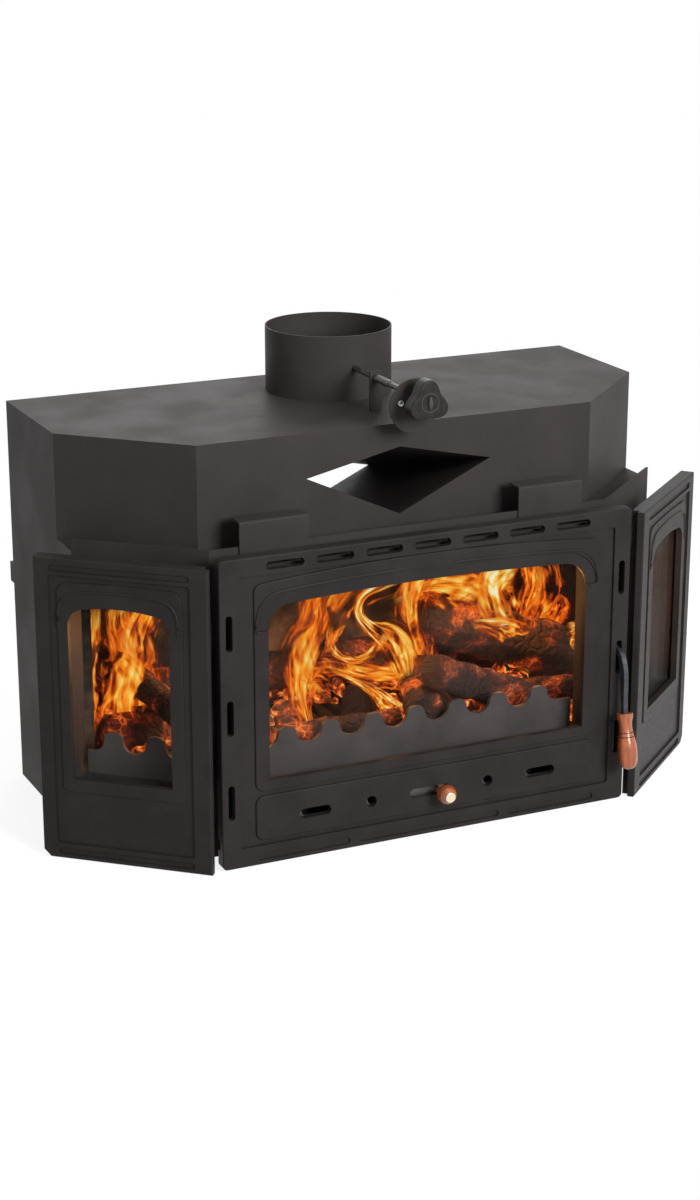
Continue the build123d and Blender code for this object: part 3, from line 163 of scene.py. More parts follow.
class NodeMaterial:
    """Builds one material's node tree."""

    def __init__(self, name):
        self.material = bpy.data.materials.new(name)
        self.material.use_nodes = True
        self.tree = self.material.node_tree
        self.tree.nodes.clear()
        self.end = self.tree.nodes.new("ShaderNodeOutputMaterial")

    def add(self, kind, options=None, inputs=None, output=0):
        """One node of any kind, its settings first, then its sockets' values or links."""
        node = self.tree.nodes.new(kind)
        for key, value in (options or {}).items():
            if key == "stops":
                elements = node.color_ramp.elements
                elements.remove(elements[1])
                elements[0].position = value[0][0]
                elements[0].color = (*value[0][1], 1.0)
                for place, colour in value[1:]:
                    elements.new(place).color = (*colour, 1.0)
            else:
                setattr(node, key, value)
        for key, value in (inputs or {}).items():
            if isinstance(value, Socket):
                self.tree.links.new(value.output, node.inputs[key])
            else:
                node.inputs[key].default_value = value
        return Socket(self, node.outputs[output])

    def place(self):
        return self.add("ShaderNodeTexCoord", output="Object")

    def mapped(self, scale, rotation=(0.0, 0.0, 0.0), location=(0.0, 0.0, 0.0), source=None):
        return self.add("ShaderNodeMapping", {}, {
            "Vector": source or self.place(), "Scale": scale,
            "Rotation": rotation, "Location": location,
        })

    def noise(self, scale, detail=3.0, roughness=0.5, distortion=0.0, source=None):
        return self.add("ShaderNodeTexNoise", {}, {
            "Vector": source or self.place(), "Scale": scale, "Detail": detail,
            "Roughness": roughness, "Distortion": distortion,
        })

    def cells(self, scale, feature="F1", source=None, randomness=1.0):
        return self.add("ShaderNodeTexVoronoi", {"feature": feature}, {
            "Vector": source or self.place(), "Scale": scale, "Randomness": randomness,
        })

    def attribute(self, name):
        return self.add("ShaderNodeAttribute", {"attribute_name": name}, {}, "Fac")

    def between(self, value, low, high, out_low=0.0, out_high=1.0):
        """A value remapped from one range to another, clamped, with soft ends."""
        return self.add("ShaderNodeMapRange", {"interpolation_type": "SMOOTHSTEP"}, {
            "Value": value, "From Min": low, "From Max": high,
            "To Min": out_low, "To Max": out_high,
        })

    def ramp(self, value, stops):
        return self.add("ShaderNodeValToRGB", {"stops": stops}, {"Fac": value})

    def mix(self, factor, first, second, blend="MIX"):
        """Two colours mixed by a factor."""
        node = self.tree.nodes.new("ShaderNodeMix")
        node.data_type = "RGBA"
        node.blend_type = blend
        for index, value in ((0, factor), (6, first), (7, second)):
            if isinstance(value, Socket):
                self.tree.links.new(value.output, node.inputs[index])
            else:
                node.inputs[index].default_value = (*value, 1.0) if index else value
        return Socket(self, node.outputs[2])

    def bump(self, height, strength, distance):
        return self.add("ShaderNodeBump", {}, {
            "Height": height, "Strength": strength, "Distance": distance,
        })

    def finish(self, **sockets):
        """A Principled surface with these sockets, as the material's result."""
        named = {key.replace("_", " "): value for key, value in sockets.items()}
        shader = self.add("ShaderNodeBsdfPrincipled", {}, named)
        self.tree.links.new(shader.output, self.end.inputs["Surface"])
        return self.material


def scaled(colour, factor):
    return tuple(min(1.0, part * factor) for part in colour)


def sheet_paint():
    """Fine-grained matt paint on sheet steel, with faint clouding."""
    m = NodeMaterial("casing_paint")
    colour = tuple(settings().paint_colour)
    cloud = m.noise(9.0, 4.0, 0.6)
    speck = m.noise(1400.0, 2.0, 0.6)
    tone = m.between(cloud, 0.3, 0.7)
    base = m.mix(tone, scaled(colour, 0.88), scaled(colour, 1.12))
    base = m.mix(m.between(speck, 0.60, 0.74, 0.0, 0.35), base, scaled(colour, 2.1))
    height = speck * 0.6 + m.noise(420.0, 2.0) * 0.4
    return m.finish(
        Base_Color=base,
        Roughness=m.between(cloud, 0.3, 0.7, 0.50, 0.62),
        Specular_IOR_Level=0.10,
        Normal=m.bump(height, 0.25, 0.0004),
    )


def cast_paint(name, shade):
    """Satin paint over a sand-cast grain, a little paler on worn high spots."""
    m = NodeMaterial(name)
    colour = scaled(settings().casting_colour, shade)
    cloud = m.noise(14.0, 4.0, 0.6)
    grain = m.noise(900.0, 3.0, 0.65)
    coarse = m.noise(260.0, 3.0, 0.6)
    base = m.mix(m.between(cloud, 0.3, 0.7), scaled(colour, 0.85), scaled(colour, 1.15))
    base = m.mix(m.between(grain, 0.58, 0.75, 0.0, 0.45), base, scaled(colour, 2.2))
    height = grain * 0.55 + coarse * 0.45
    return m.finish(
        Base_Color=base,
        Roughness=m.between(coarse, 0.3, 0.7, 0.34, 0.46),
        Specular_IOR_Level=0.09,
        Normal=m.bump(height, 0.4, 0.0006),
    )


def dark_steel(name, colour, roughness, metallic=0.75):
    """Oxidised steel with fine scratches along its length."""
    m = NodeMaterial(name)
    streak = m.noise(60.0, 4.0, 0.6, source=m.mapped((1.0, 1.0, 12.0)))
    base = m.mix(m.between(streak, 0.3, 0.7), scaled(colour, 0.75), scaled(colour, 1.3))
    return m.finish(
        Base_Color=base, Metallic=metallic,
        Roughness=m.between(streak, 0.3, 0.7, roughness - 0.06, roughness + 0.08),
        Normal=m.bump(streak, 0.12, 0.0003),
    )


def moulded_black():
    """Moulded phenolic with a soft sheen and shallow flow marks."""
    m = NodeMaterial("knob_black")
    flow = m.noise(160.0, 3.0, 0.55)
    base = m.mix(m.between(flow, 0.3, 0.7), (0.015, 0.013, 0.012), (0.026, 0.023, 0.022))
    return m.finish(
        Base_Color=base, Roughness=m.between(flow, 0.3, 0.7, 0.34, 0.46), Specular_IOR_Level=0.2,
        Normal=m.bump(flow, 0.15, 0.0004),
    )


def sooty_glass():
    """Clear ceramic glass that soot darkens in patches."""
    m = NodeMaterial("glass")
    film = m.noise(11.0, 4.0, 0.6)
    smoke = m.between(film, 0.45, 0.75)
    return m.finish(
        Base_Color=m.mix(smoke, (0.020, 0.014, 0.010), (0.045, 0.030, 0.020)),
        Roughness=0.04, Alpha=m.between(film, 0.40, 0.80, 0.05, 0.18),
        Specular_IOR_Level=0.25,
    )


def seal_rope():
    """Knitted glass-fibre rope, dusty grey with crossing ribs."""
    m = NodeMaterial("seal_rope")
    ribs = m.add("ShaderNodeTexWave", {"bands_direction": "DIAGONAL"}, {
        "Vector": m.place(), "Scale": 190.0, "Distortion": 3.0, "Detail": 2.0,
    }, "Fac")
    base = m.mix(ribs, (0.045, 0.042, 0.040), (0.16, 0.15, 0.14))
    return m.finish(Base_Color=base, Roughness=0.9, Normal=m.bump(ribs, 0.6, 0.001))


def varnished_wood():
    """Straight-grained stained wood under clear varnish."""
    m = NodeMaterial("turned_wood")
    colour = tuple(settings().wood_colour)
    along = m.mapped((1.0, 1.0, 0.14))
    grain = m.noise(420.0, 4.0, 0.65, 0.6, source=along)
    bands = m.noise(95.0, 3.0, 0.5, 1.2, source=along)
    base = m.mix(m.between(bands, 0.35, 0.65), scaled(colour, 0.62), scaled(colour, 1.12))
    base = m.mix(m.between(grain, 0.52, 0.66, 0.0, 0.6), base, scaled(colour, 0.34))
    return m.finish(
        Base_Color=base, Roughness=m.between(grain, 0.3, 0.7, 0.30, 0.42),
        Coat_Weight=0.55, Coat_Roughness=0.12,
        Normal=m.bump(grain, 0.10, 0.0003),
    )


def pale_cap():
    """Warm pale metal with turned rings."""
    m = NodeMaterial("cap_metal")
    ring = m.noise(500.0, 2.0, 0.5)
    base = m.mix(ring, (0.62, 0.54, 0.36), (0.86, 0.79, 0.60))
    return m.finish(Base_Color=base, Metallic=1.0, Roughness=m.between(ring, 0.3, 0.7, 0.20, 0.34))


def sooted_brick():
    """Refractory board, tanned by heat and blackened in clouds."""
    m = NodeMaterial("fire_brick")
    colour = tuple(settings().brick_colour)
    grit = m.noise(160.0, 4.0, 0.6)
    soot = m.noise(8.0, 5.0, 0.65)
    clean = m.mix(grit, scaled(colour, 0.90), scaled(colour, 1.08))
    base = m.mix(m.between(soot, 0.32, 0.54), clean, (0.016, 0.012, 0.010))
    return m.finish(Base_Color=base, Roughness=0.93, Normal=m.bump(grit, 0.06, 0.001))


def scorched_steel():
    """Sheet inside the firebox, scaled and dusted by ash."""
    m = NodeMaterial("scorched_steel")
    ash = m.noise(26.0, 5.0, 0.65)
    base = m.mix(m.between(ash, 0.45, 0.70), (0.014, 0.012, 0.011), (0.060, 0.048, 0.040))
    return m.finish(Base_Color=base, Roughness=0.85, Normal=m.bump(ash, 0.3, 0.001))


def burning_log():
    """Charred bark broken by glowing cracks, with raw wood where it still burns."""
    m = NodeMaterial("burning_log")
    along = m.attribute("along")
    turn = m.attribute("turn")
    heat = m.attribute("warmth")
    skin = m.add("ShaderNodeCombineXYZ", {}, {"X": along * 7.0, "Y": turn * 13.0, "Z": 0.4})
    plates = m.cells(1.0, "DISTANCE_TO_EDGE", source=skin)
    crack = m.between(plates, 0.01, 0.10, 1.0, 0.0)
    fibre = m.noise(1.0, 4.0, 0.7, 0.5, source=m.add(
        "ShaderNodeCombineXYZ", {}, {"X": along * 14.0, "Y": turn * 120.0, "Z": 0.3}))
    glow = m.between(m.noise(17.0, 4.0, 0.6), 0.46, 0.66) * heat
    char = m.mix(m.between(fibre, 0.3, 0.7), (0.012, 0.008, 0.007), (0.070, 0.032, 0.020))
    wood = m.mix(m.between(fibre, 0.35, 0.65), (0.10, 0.030, 0.012), (0.40, 0.15, 0.050))
    base = m.mix(m.between(glow, 0.15, 0.8), char, wood)
    ember = m.ramp(crack * glow * 0.40 + glow * fibre * 0.55, [
        (0.0, (0.0, 0.0, 0.0)), (0.22, (0.16, 0.012, 0.002)), (0.5, (0.9, 0.13, 0.012)),
        (0.8, (1.0, 0.42, 0.08)), (1.0, (1.0, 0.75, 0.35)),
    ])
    height = m.between(plates, 0.0, 0.22) * 0.7 + fibre * 0.3
    return m.finish(
        Base_Color=base, Roughness=0.88, Normal=m.bump(height, 0.9, 0.004),
        Emission_Color=ember, Emission_Strength=0.75,
    )


def glowing_coals():
    """Live coals: grey ash over orange hearts."""
    m = NodeMaterial("glowing_coals")
    lump = m.noise(70.0, 4.0, 0.65)
    fine = m.noise(330.0, 3.0, 0.6)
    heat = lump * 0.75 + fine * 0.25
    ash = m.mix(fine, (0.020, 0.014, 0.012), (0.13, 0.085, 0.065))
    glow = m.ramp(m.between(heat, 0.44, 0.66), [
        (0.0, (0.01, 0.001, 0.0)), (0.35, (0.45, 0.035, 0.004)), (0.7, (1.0, 0.22, 0.02)),
        (1.0, (1.0, 0.60, 0.16)),
    ])
    return m.finish(
        Base_Color=ash, Roughness=0.9, Normal=m.bump(heat, 0.8, 0.003),
        Emission_Color=glow, Emission_Strength=1.0,
    )


def flame():
    """Flame skin: hot pale core, orange edges, torn away at its rim."""
    m = NodeMaterial("flame")
    across = m.attribute("across")
    along = m.attribute("along")
    warmth = m.attribute("warmth")
    far_side = m.add("ShaderNodeNewGeometry", output="Backfacing")
    source = m.add("ShaderNodeCombineXYZ", {}, {
        "X": across * 1.1 + warmth * 7.0, "Y": along * 2.4, "Z": warmth * 3.0})
    threads = m.add("ShaderNodeCombineXYZ", {}, {
        "X": across * 2.8 + warmth * 11.0, "Y": along * 1.5, "Z": warmth * 5.0})
    lick = m.noise(1.8, 2.5, 0.55, 1.4, source=source)
    silk = m.noise(1.5, 2.5, 0.5, 0.9, source=threads)
    edge = 1.0 - across * across
    body = edge * 0.90 + lick * 2.1 + silk * 1.4 - 2.24
    colour = m.ramp(body * warmth, [
        (0.0, (0.10, 0.005, 0.001)), (0.16, (0.50, 0.040, 0.002)), (0.36, (1.0, 0.17, 0.007)),
        (0.56, (1.0, 0.38, 0.025)), (0.76, (1.0, 0.68, 0.14)), (0.96, (1.0, 0.94, 0.62)),
    ])
    ends = m.between(along, 0.0, 0.14) * m.between(along, 0.66, 1.0, 1.0, 0.0)
    cover = m.between(body, -0.06, 0.62) * m.between(edge, 0.0, 0.5) * ends
    return m.finish(
        Base_Color=(0.0, 0.0, 0.0, 1.0), Roughness=1.0, Specular_IOR_Level=0.0,
        Emission_Color=colour, Emission_Strength=settings().fire_strength,
        Alpha=cover * 0.95 * (1.0 - far_side),
    )


def floor_white():
    """White that keeps a faint shadow near the insert, and a plain white further out."""
    m = NodeMaterial("floor_white")
    path = m.tree.nodes.new("ShaderNodeLightPath")
    seen = (Socket(m, path.outputs["Is Camera Ray"]) + Socket(m, path.outputs["Is Glossy Ray"])
            + Socket(m, path.outputs["Is Transmission Ray"]))
    level = settings().background
    white = (level, level, level, 1.0)
    plain = m.add("ShaderNodeEmission", {}, {"Color": white, "Strength": 1.0})
    matt = m.add("ShaderNodeBsdfDiffuse", {}, {"Color": (0.45, 0.45, 0.45, 1.0)})
    dim = m.add("ShaderNodeEmission", {}, {"Color": white, "Strength": 0.84})
    near = m.add("ShaderNodeAddShader", {}, {0: matt, 1: dim})
    reach = m.add("ShaderNodeVectorMath", {"operation": "LENGTH"}, {"Vector": m.place()}, "Value")
    shown = m.add("ShaderNodeMixShader", {}, {0: m.between(reach, 0.8, 1.3), 1: near, 2: plain})
    both = m.add("ShaderNodeMixShader", {}, {0: m.between(seen, 0.0, 1.0), 1: matt, 2: shown})
    m.tree.links.new(both.output, m.end.inputs["Surface"])
    return m.material


# Mesh helpers


def at(depth):
    """Y of the plane that lies this far behind the door's face, in metres."""
    return depth - FLUE_BACK


def inside(x, depth, z):
    """The point at a place in the firebox, with its depth from the door's face."""
    return Vector((x, at(depth), z))


def behind(x, z, depth):
    """The point at a depth that lies on the camera's line through a point of the door's face."""
    start = Vector((x, at(0.0), z))
    step = start - EYE
    return start + step * (depth / step.y)


def wing_point(side, along, z, depth):
    """A point on a side front: along from its inner edge, and depth behind its face."""
    x = WING_START.x + along * math.cos(WING_ANGLE) - depth * math.sin(WING_ANGLE)
    y = WING_START.y + along * math.sin(WING_ANGLE) + depth * math.cos(WING_ANGLE)
    return Vector((side * x, y, z))


def mesh_object(name, mesh_data, body, material, replaced=()):
    """Turns a bmesh into a finished piece that rides on a body."""
    mesh = bpy.data.meshes.new(name)
    bmesh.ops.recalc_face_normals(mesh_data, faces=mesh_data.faces)
    mesh_data.to_mesh(mesh)
    mesh_data.free()
    piece = bpy.data.objects.new(name, mesh)
    bpy.context.scene.collection.objects.link(piece)
    mesh.materials.append(material)
    for face in mesh.polygons:
        face.use_smooth = True
    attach(piece, body)
    if replaced:
        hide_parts(*replaced)
    return piece


def tube_along(mesh_data, points, radii, sides=10):
    """A capped tube through points, made by extruding a ring; returns its rings of vertices."""
    rings = []
    count = len(points)
    for i, point in enumerate(points):
        ahead = points[min(i + 1, count - 1)]
        before = points[max(i - 1, 0)]
        turn = (ahead - before).normalized().to_track_quat("Z", "Y").to_matrix().to_4x4()
        if not rings:
            made = bmesh.ops.create_circle(
                mesh_data, cap_ends=False, segments=sides, radius=1.0)["verts"]
            ring = list(made)
            local = [vertex.co.copy() for vertex in ring]
        else:
            edges = ring_edges(rings[-1])
            grown = bmesh.ops.extrude_edge_only(mesh_data, edges=edges)["geom"]
            fresh = [g for g in grown if isinstance(g, bmesh.types.BMVert)]
            ring = matched(rings[-1], fresh)
        radius = radii[i]
        for vertex, start in zip(ring, local):
            vertex.co = point + turn @ (start * radius)
        rings.append(ring)
    for ring in (rings[0], rings[-1]):
        bmesh.ops.contextual_create(mesh_data, geom=ring_edges(ring))
    return rings


def ring_edges(ring):
    """The edges between neighbours in a ring of vertices."""
    members = set(ring)
    return [edge for edge in {e for v in ring for e in v.link_edges}
            if edge.verts[0] in members and edge.verts[1] in members]


def matched(old_ring, fresh):
    """The extruded vertices in the order of the ring they came from."""
    pool = set(fresh)
    ring = []
    for vertex in old_ring:
        for edge in vertex.link_edges:
            other = edge.other_vert(vertex)
            if other in pool:
                ring.append(other)
                break
    return ring


def torus(mesh_data, centre, axis, radius, thickness):
    """A closed ring round an axis, spun from a small circle."""
    side = axis.orthogonal().normalized()
    frame_at = Matrix((side, axis, side.cross(axis))).transposed().to_4x4()
    frame_at.translation = centre + side * radius
    made = bmesh.ops.create_circle(
        mesh_data, cap_ends=False, segments=8, radius=thickness, matrix=frame_at)["verts"]
    bmesh.ops.spin(
        mesh_data, geom=[*made, *ring_edges(made)], cent=centre, axis=axis,
        angle=2 * math.pi, steps=36, use_merge=True)


def smooth_path(points, steps):
    """Points along a smooth curve through the given ones."""
    path = []
    count = len(points)
    for i in range(count - 1):
        before = points[max(i - 1, 0)]
        start = points[i]
        end = points[i + 1]
        after = points[min(i + 2, count - 1)]
        for j in range(steps):
            t = j / steps
            path.append(0.5 * (
                2 * start + (end - before) * t
                + (2 * before - 5 * start + 4 * end - after) * t * t
                + (3 * start - before - 3 * end + after) * t ** 3
            ))
    path.append(points[-1])
    return path


def give_attribute(piece, name, values):
    layer = piece.data.attributes.new(name, "FLOAT", "POINT")
    layer.data.foreach_set("value", values)


# Operators


class FIREPLACE_OT_finishes(bpy.types.Operator):
    """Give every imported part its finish"""

    bl_idname = "fireplace.finishes"
    bl_label = "Finishes"

    def execute(self, context):
        finishes = {
            "casing_paint": sheet_paint(),
            "cast_iron": cast_paint("cast_paint", 1.0),
            "plain_steel": dark_steel("plain_steel", (0.11, 0.10, 0.095), 0.42),
            "knob_black": moulded_black(),
            "glass": sooty_glass(),
            "seal_rope": seal_rope(),
            "turned_wood": varnished_wood(),
            "cap_metal": pale_cap(),
            "lever_steel": dark_steel("lever_steel", (0.050, 0.054, 0.066), 0.34, 0.4),
            "fire_brick": sooted_brick(),
        }
        scorched = scorched_steel()
        # Log guards: the casting paint made 3.2 times paler, a painted reflection and sheen of the glass
        # on iron as dark as the door
        painted_reflection_iron = cast_paint("guard_iron_painted_reflection", 3.2)
        slots = {row["node"]: row["material_slot"] for row in frame["record"]["subparts"]}
        for name, node in frame["nodes"].items():
            material = finishes[slots[name]]
            if name in ("fire_floor", "grate", "ash_pan"):
                material = scorched
            # the log guards take the paler paint, painted reflection rather than their own colour
            if name.startswith("log_guard"):
                material = painted_reflection_iron
            node.data.materials.clear()
            node.data.materials.append(material)
        return {"FINISHED"}


class FIREPLACE_OT_ridges(bpy.types.Operator):
    """Raise the fine ridges that run round the windows"""

    bl_idname = "fireplace.ridges"
    bl_label = "Window ridges"

    def execute(self, context):
        width = settings().ridge_width
        material = bpy.data.materials["cast_paint"]
        runs = self.door_runs()
        build = bmesh.new()
        for run in runs:
            self.bead(build, run, width)
        mesh_object("door_ridges", build, "door", material)
        build = bmesh.new()
        for side in (-1, 1):
            for run in self.wing_runs(side):
                self.bead(build, run, width * 0.9)
        mesh_object("wing_ridges", build, "case", material)
        return {"FINISHED"}

    def bead(self, build, points, width):
        """A low half-round bead that fades out at both ends."""
        path = smooth_path(points, 6)
        radii = [width / 2] * len(path)
        radii[0] = radii[-1] = width * 0.15
        radii[1] = radii[-2] = width * 0.38
        tube_along(build, path, radii, 8)

    def door_runs(self):
        face = at(0.0012)
        runs = []
        for side in (-1, 1):
            runs.append([Vector((side * x, face, z)) for x, z in (
                (0.2555, 0.331), (0.2550, 0.345), (0.2490, 0.3640), (0.2330, 0.3790), (0.2080, 0.3832),
                (0.1500, 0.3868), (0.0850, 0.3890), (0.0300, 0.3900),
            )])
            runs.append([Vector((side * x, face, z)) for x, z in (
                (0.2555, 0.331), (0.2500, 0.3290), (0.2405, 0.3290),
            )])
        return runs

    def wing_runs(self, side):
        outline = (
            (0.0420, 0.330), (0.0420, 0.352), (0.0480, 0.3680), (0.0620, 0.3775), (0.0900, 0.3810),
            (0.1250, 0.3822), (0.1600, 0.3810), (0.1880, 0.3775), (0.2020, 0.3680), (0.2075, 0.352),
            (0.2075, 0.330),
        )
        return [[wing_point(side, s, z, 0.0012) for s, z in outline]]


class FIREPLACE_OT_damper_knob(bpy.types.Operator):
    """Carve the lobed damper knob's face"""

    bl_idname = "fireplace.damper_knob"
    bl_label = "Damper knob"

    def execute(self, context):
        low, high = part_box("damper_knob")
        centre = Vector(((low.x + high.x) / 2, low.y, 0.608))
        forward = Vector((0.0, -1.0, 0.0))
        build = bmesh.new()
        torus(build, centre + Vector((0, -0.0002, 0)), forward, 0.0125, 0.0008)
        bar = [centre + Vector((0.0, -0.0012, z)) for z in (0.0085, 0.003, -0.003, -0.0085)]
        widths = [
            0.0008, 0.0016, 0.0022, 0.0026, 0.0028, 0.0030, 0.0032,
            0.0032, 0.0032, 0.0030, 0.0026, 0.0018, 0.0008,
        ]
        tube_along(build, smooth_path(bar, 4), widths, 10)
        mesh_object(
            "damper_knob_relief", build, "damper", bpy.data.materials["knob_black"])
        build = bmesh.new()
        place = Matrix.Translation((-0.021, at(0.0572), 0.600))
        bmesh.ops.create_cone(
            build, cap_ends=True, segments=24, radius1=0.0045, radius2=0.0036, depth=0.0022,
            matrix=place @ Matrix.Rotation(math.pi / 2, 4, "X"))
        sharp = [e for e in build.edges if len(e.link_faces) == 2 and e.calc_face_angle() > 0.5]
        bmesh.ops.bevel(
            build, geom=sharp, offset=0.0004, affect="EDGES", segments=2, profile=0.5, material=-1)
        mesh_object("shield_screw", build, "damper", bright_screw())
        return {"FINISHED"}


def bright_screw():
    m = NodeMaterial("bright_screw")
    mark = m.noise(900.0, 2.0, 0.5)
    base = m.mix(mark, (0.45, 0.43, 0.40), (0.68, 0.66, 0.62))
    return m.finish(Base_Color=base, Metallic=0.9, Roughness=m.between(mark, 0.3, 0.7, 0.28, 0.42))


class FIREPLACE_OT_grip_rings(bpy.types.Operator):
    """Turn the dark scorched rings on the latch's grip"""

    bl_idname = "fireplace.grip_rings"
    bl_label = "Grip rings"

    def execute(self, context):
        lean = math.radians(12.5)
        axis = Vector((0.0, -math.sin(lean), -math.cos(lean)))
        top = Vector((0.2935, at(-0.021), 0.140))
        build = bmesh.new()
        for down, radius in ((0.027, 0.01105), (0.033, 0.01195)):
            centre = top + axis * down
            torus(build, centre, axis, radius, 0.00055)
        m = NodeMaterial("scorched_ring")
        burn = m.noise(700.0, 2.0, 0.5)
        material = m.finish(
            Base_Color=m.mix(burn, (0.020, 0.007, 0.003), (0.060, 0.018, 0.006)), Roughness=0.6)
        mesh_object("grip_rings", build, "latch", material)
        return {"FINISHED"}


class FIREPLACE_OT_logs(bpy.types.Operator):
    """Stack the burning logs on the fire floor"""

    bl_idname = "fireplace.logs"
    bl_label = "Logs"

    def execute(self, context):
        material = burning_log()
        logs = {
            "log_split": (behind(-0.004, 0.243, 0.090), behind(0.150, 0.178, 0.130), 0.030, 0.55),
            "log_upper": (behind(-0.020, 0.322, 0.290), behind(0.245, 0.224, 0.230), 0.040, 0.75),
            "log_left": (behind(-0.108, 0.203, 0.180), behind(-0.095, 0.250, 0.295), 0.036, 1.0),
            "log_low": (behind(-0.240, 0.180, 0.150), behind(-0.050, 0.176, 0.140), 0.024, 1.0),
            "log_bearer": (inside(0.036, 0.072, 0.137), inside(0.131, 0.322, 0.137), 0.040, 0.9),
            "log_rear": (inside(-0.33, 0.365, 0.134), inside(0.33, 0.375, 0.134), 0.037, 0.6),
            "log_prop": (inside(0.170, 0.196, 0.118), inside(0.345, 0.158, 0.116), 0.023, 0.8),
            "log_side": (inside(-0.385, 0.235, 0.124), inside(-0.215, 0.290, 0.124), 0.031, 0.9),
            "log_cross": (inside(-0.335, 0.350, 0.199), inside(-0.300, 0.185, 0.165), 0.026, 1.0),
        }
        for index, (name, (start, end, radius, heat)) in enumerate(logs.items()):
            self.log(name, start, end, radius, heat, material, index)
        return {"FINISHED"}

    def log(self, name, start, end, radius, heat, material, index):
        """An uneven split log with broken ends, lying between two points."""
        rng = random.Random(settings().fire_seed + index)
        first = Vector(start)
        last = Vector(end)
        steps = 30
        sides = 22
        points = [first.lerp(last, i / steps) for i in range(steps + 1)]
        radii = [radius * (1.0 + 0.05 * math.sin(i * 0.9 + index)) for i in range(steps + 1)]
        radii[0] *= 0.93
        radii[-1] *= 0.90
        build = bmesh.new()
        rings = tube_along(build, points, radii, sides)
        flats = [rng.uniform(0, 2 * math.pi) for _ in range(3)]
        along, turn = {}, {}
        for i, ring in enumerate(rings):
            centre = points[i]
            for k, vertex in enumerate(ring):
                angle = 2 * math.pi * k / sides
                pull = 1.0
                for flat in flats:
                    facing = math.cos(angle - flat)
                    pull = min(pull, 0.72 / facing if facing > 0.72 else 1.0)
                wave = 0.045 * math.sin(7 * angle + i * 0.35 + index)
                ripple = 1.0 + wave + rng.uniform(-0.03, 0.03)
                vertex.co = centre + (vertex.co - centre) * min(1.0, pull * ripple)
                along[vertex] = i / steps * (last - first).length / 0.1
                turn[vertex] = k / sides
        along_values = [along[vertex] for vertex in build.verts]
        turn_values = [turn[vertex] for vertex in build.verts]
        piece = mesh_object(name, build, "case", material)
        give_attribute(piece, "along", along_values)
        give_attribute(piece, "turn", turn_values)
        give_attribute(piece, "warmth", [heat] * len(along_values))


class FIREPLACE_OT_coals(bpy.types.Operator):
    """Heap live coals between the logs"""

    bl_idname = "fireplace.coals"
    bl_label = "Coals"

    def execute(self, context):
        rng = random.Random(settings().fire_seed)
        build = bmesh.new()
        for _ in range(150):
            x = rng.uniform(-0.37, 0.36)
            depth = rng.uniform(0.085, 0.385)
            limit = 0.27 + depth * 0.55
            if abs(x) > limit:
                continue
            size = rng.uniform(0.007, 0.019)
            over_grate = abs(x) < GRATE_HALF and depth > GRATE_NEAR
            ground = GRATE_TOP if over_grate else FLOOR_TOP
            place = Matrix.Translation((x, at(depth), ground + size * 0.55))
            turned = rng.uniform(0, 6.28)
            axis = Vector((rng.random(), rng.random(), 1)).normalized()
            spin = Matrix.Rotation(turned, 4, axis)
            sizes = (rng.uniform(0.8, 1.4), rng.uniform(0.8, 1.3), rng.uniform(0.5, 0.9), 1.0)
            made = bmesh.ops.create_icosphere(
                build, subdivisions=2, radius=size, matrix=place @ spin @ Matrix.Diagonal(sizes))
            for vertex in made["verts"]:
                push = Vector((rng.uniform(-1, 1), rng.uniform(-1, 1), rng.uniform(-1, 1)))
                vertex.co += push * size * 0.10
                vertex.co.z = max(vertex.co.z, ground + 0.0002)
        mesh_object("coals", build, "case", glowing_coals())
        return {"FINISHED"}


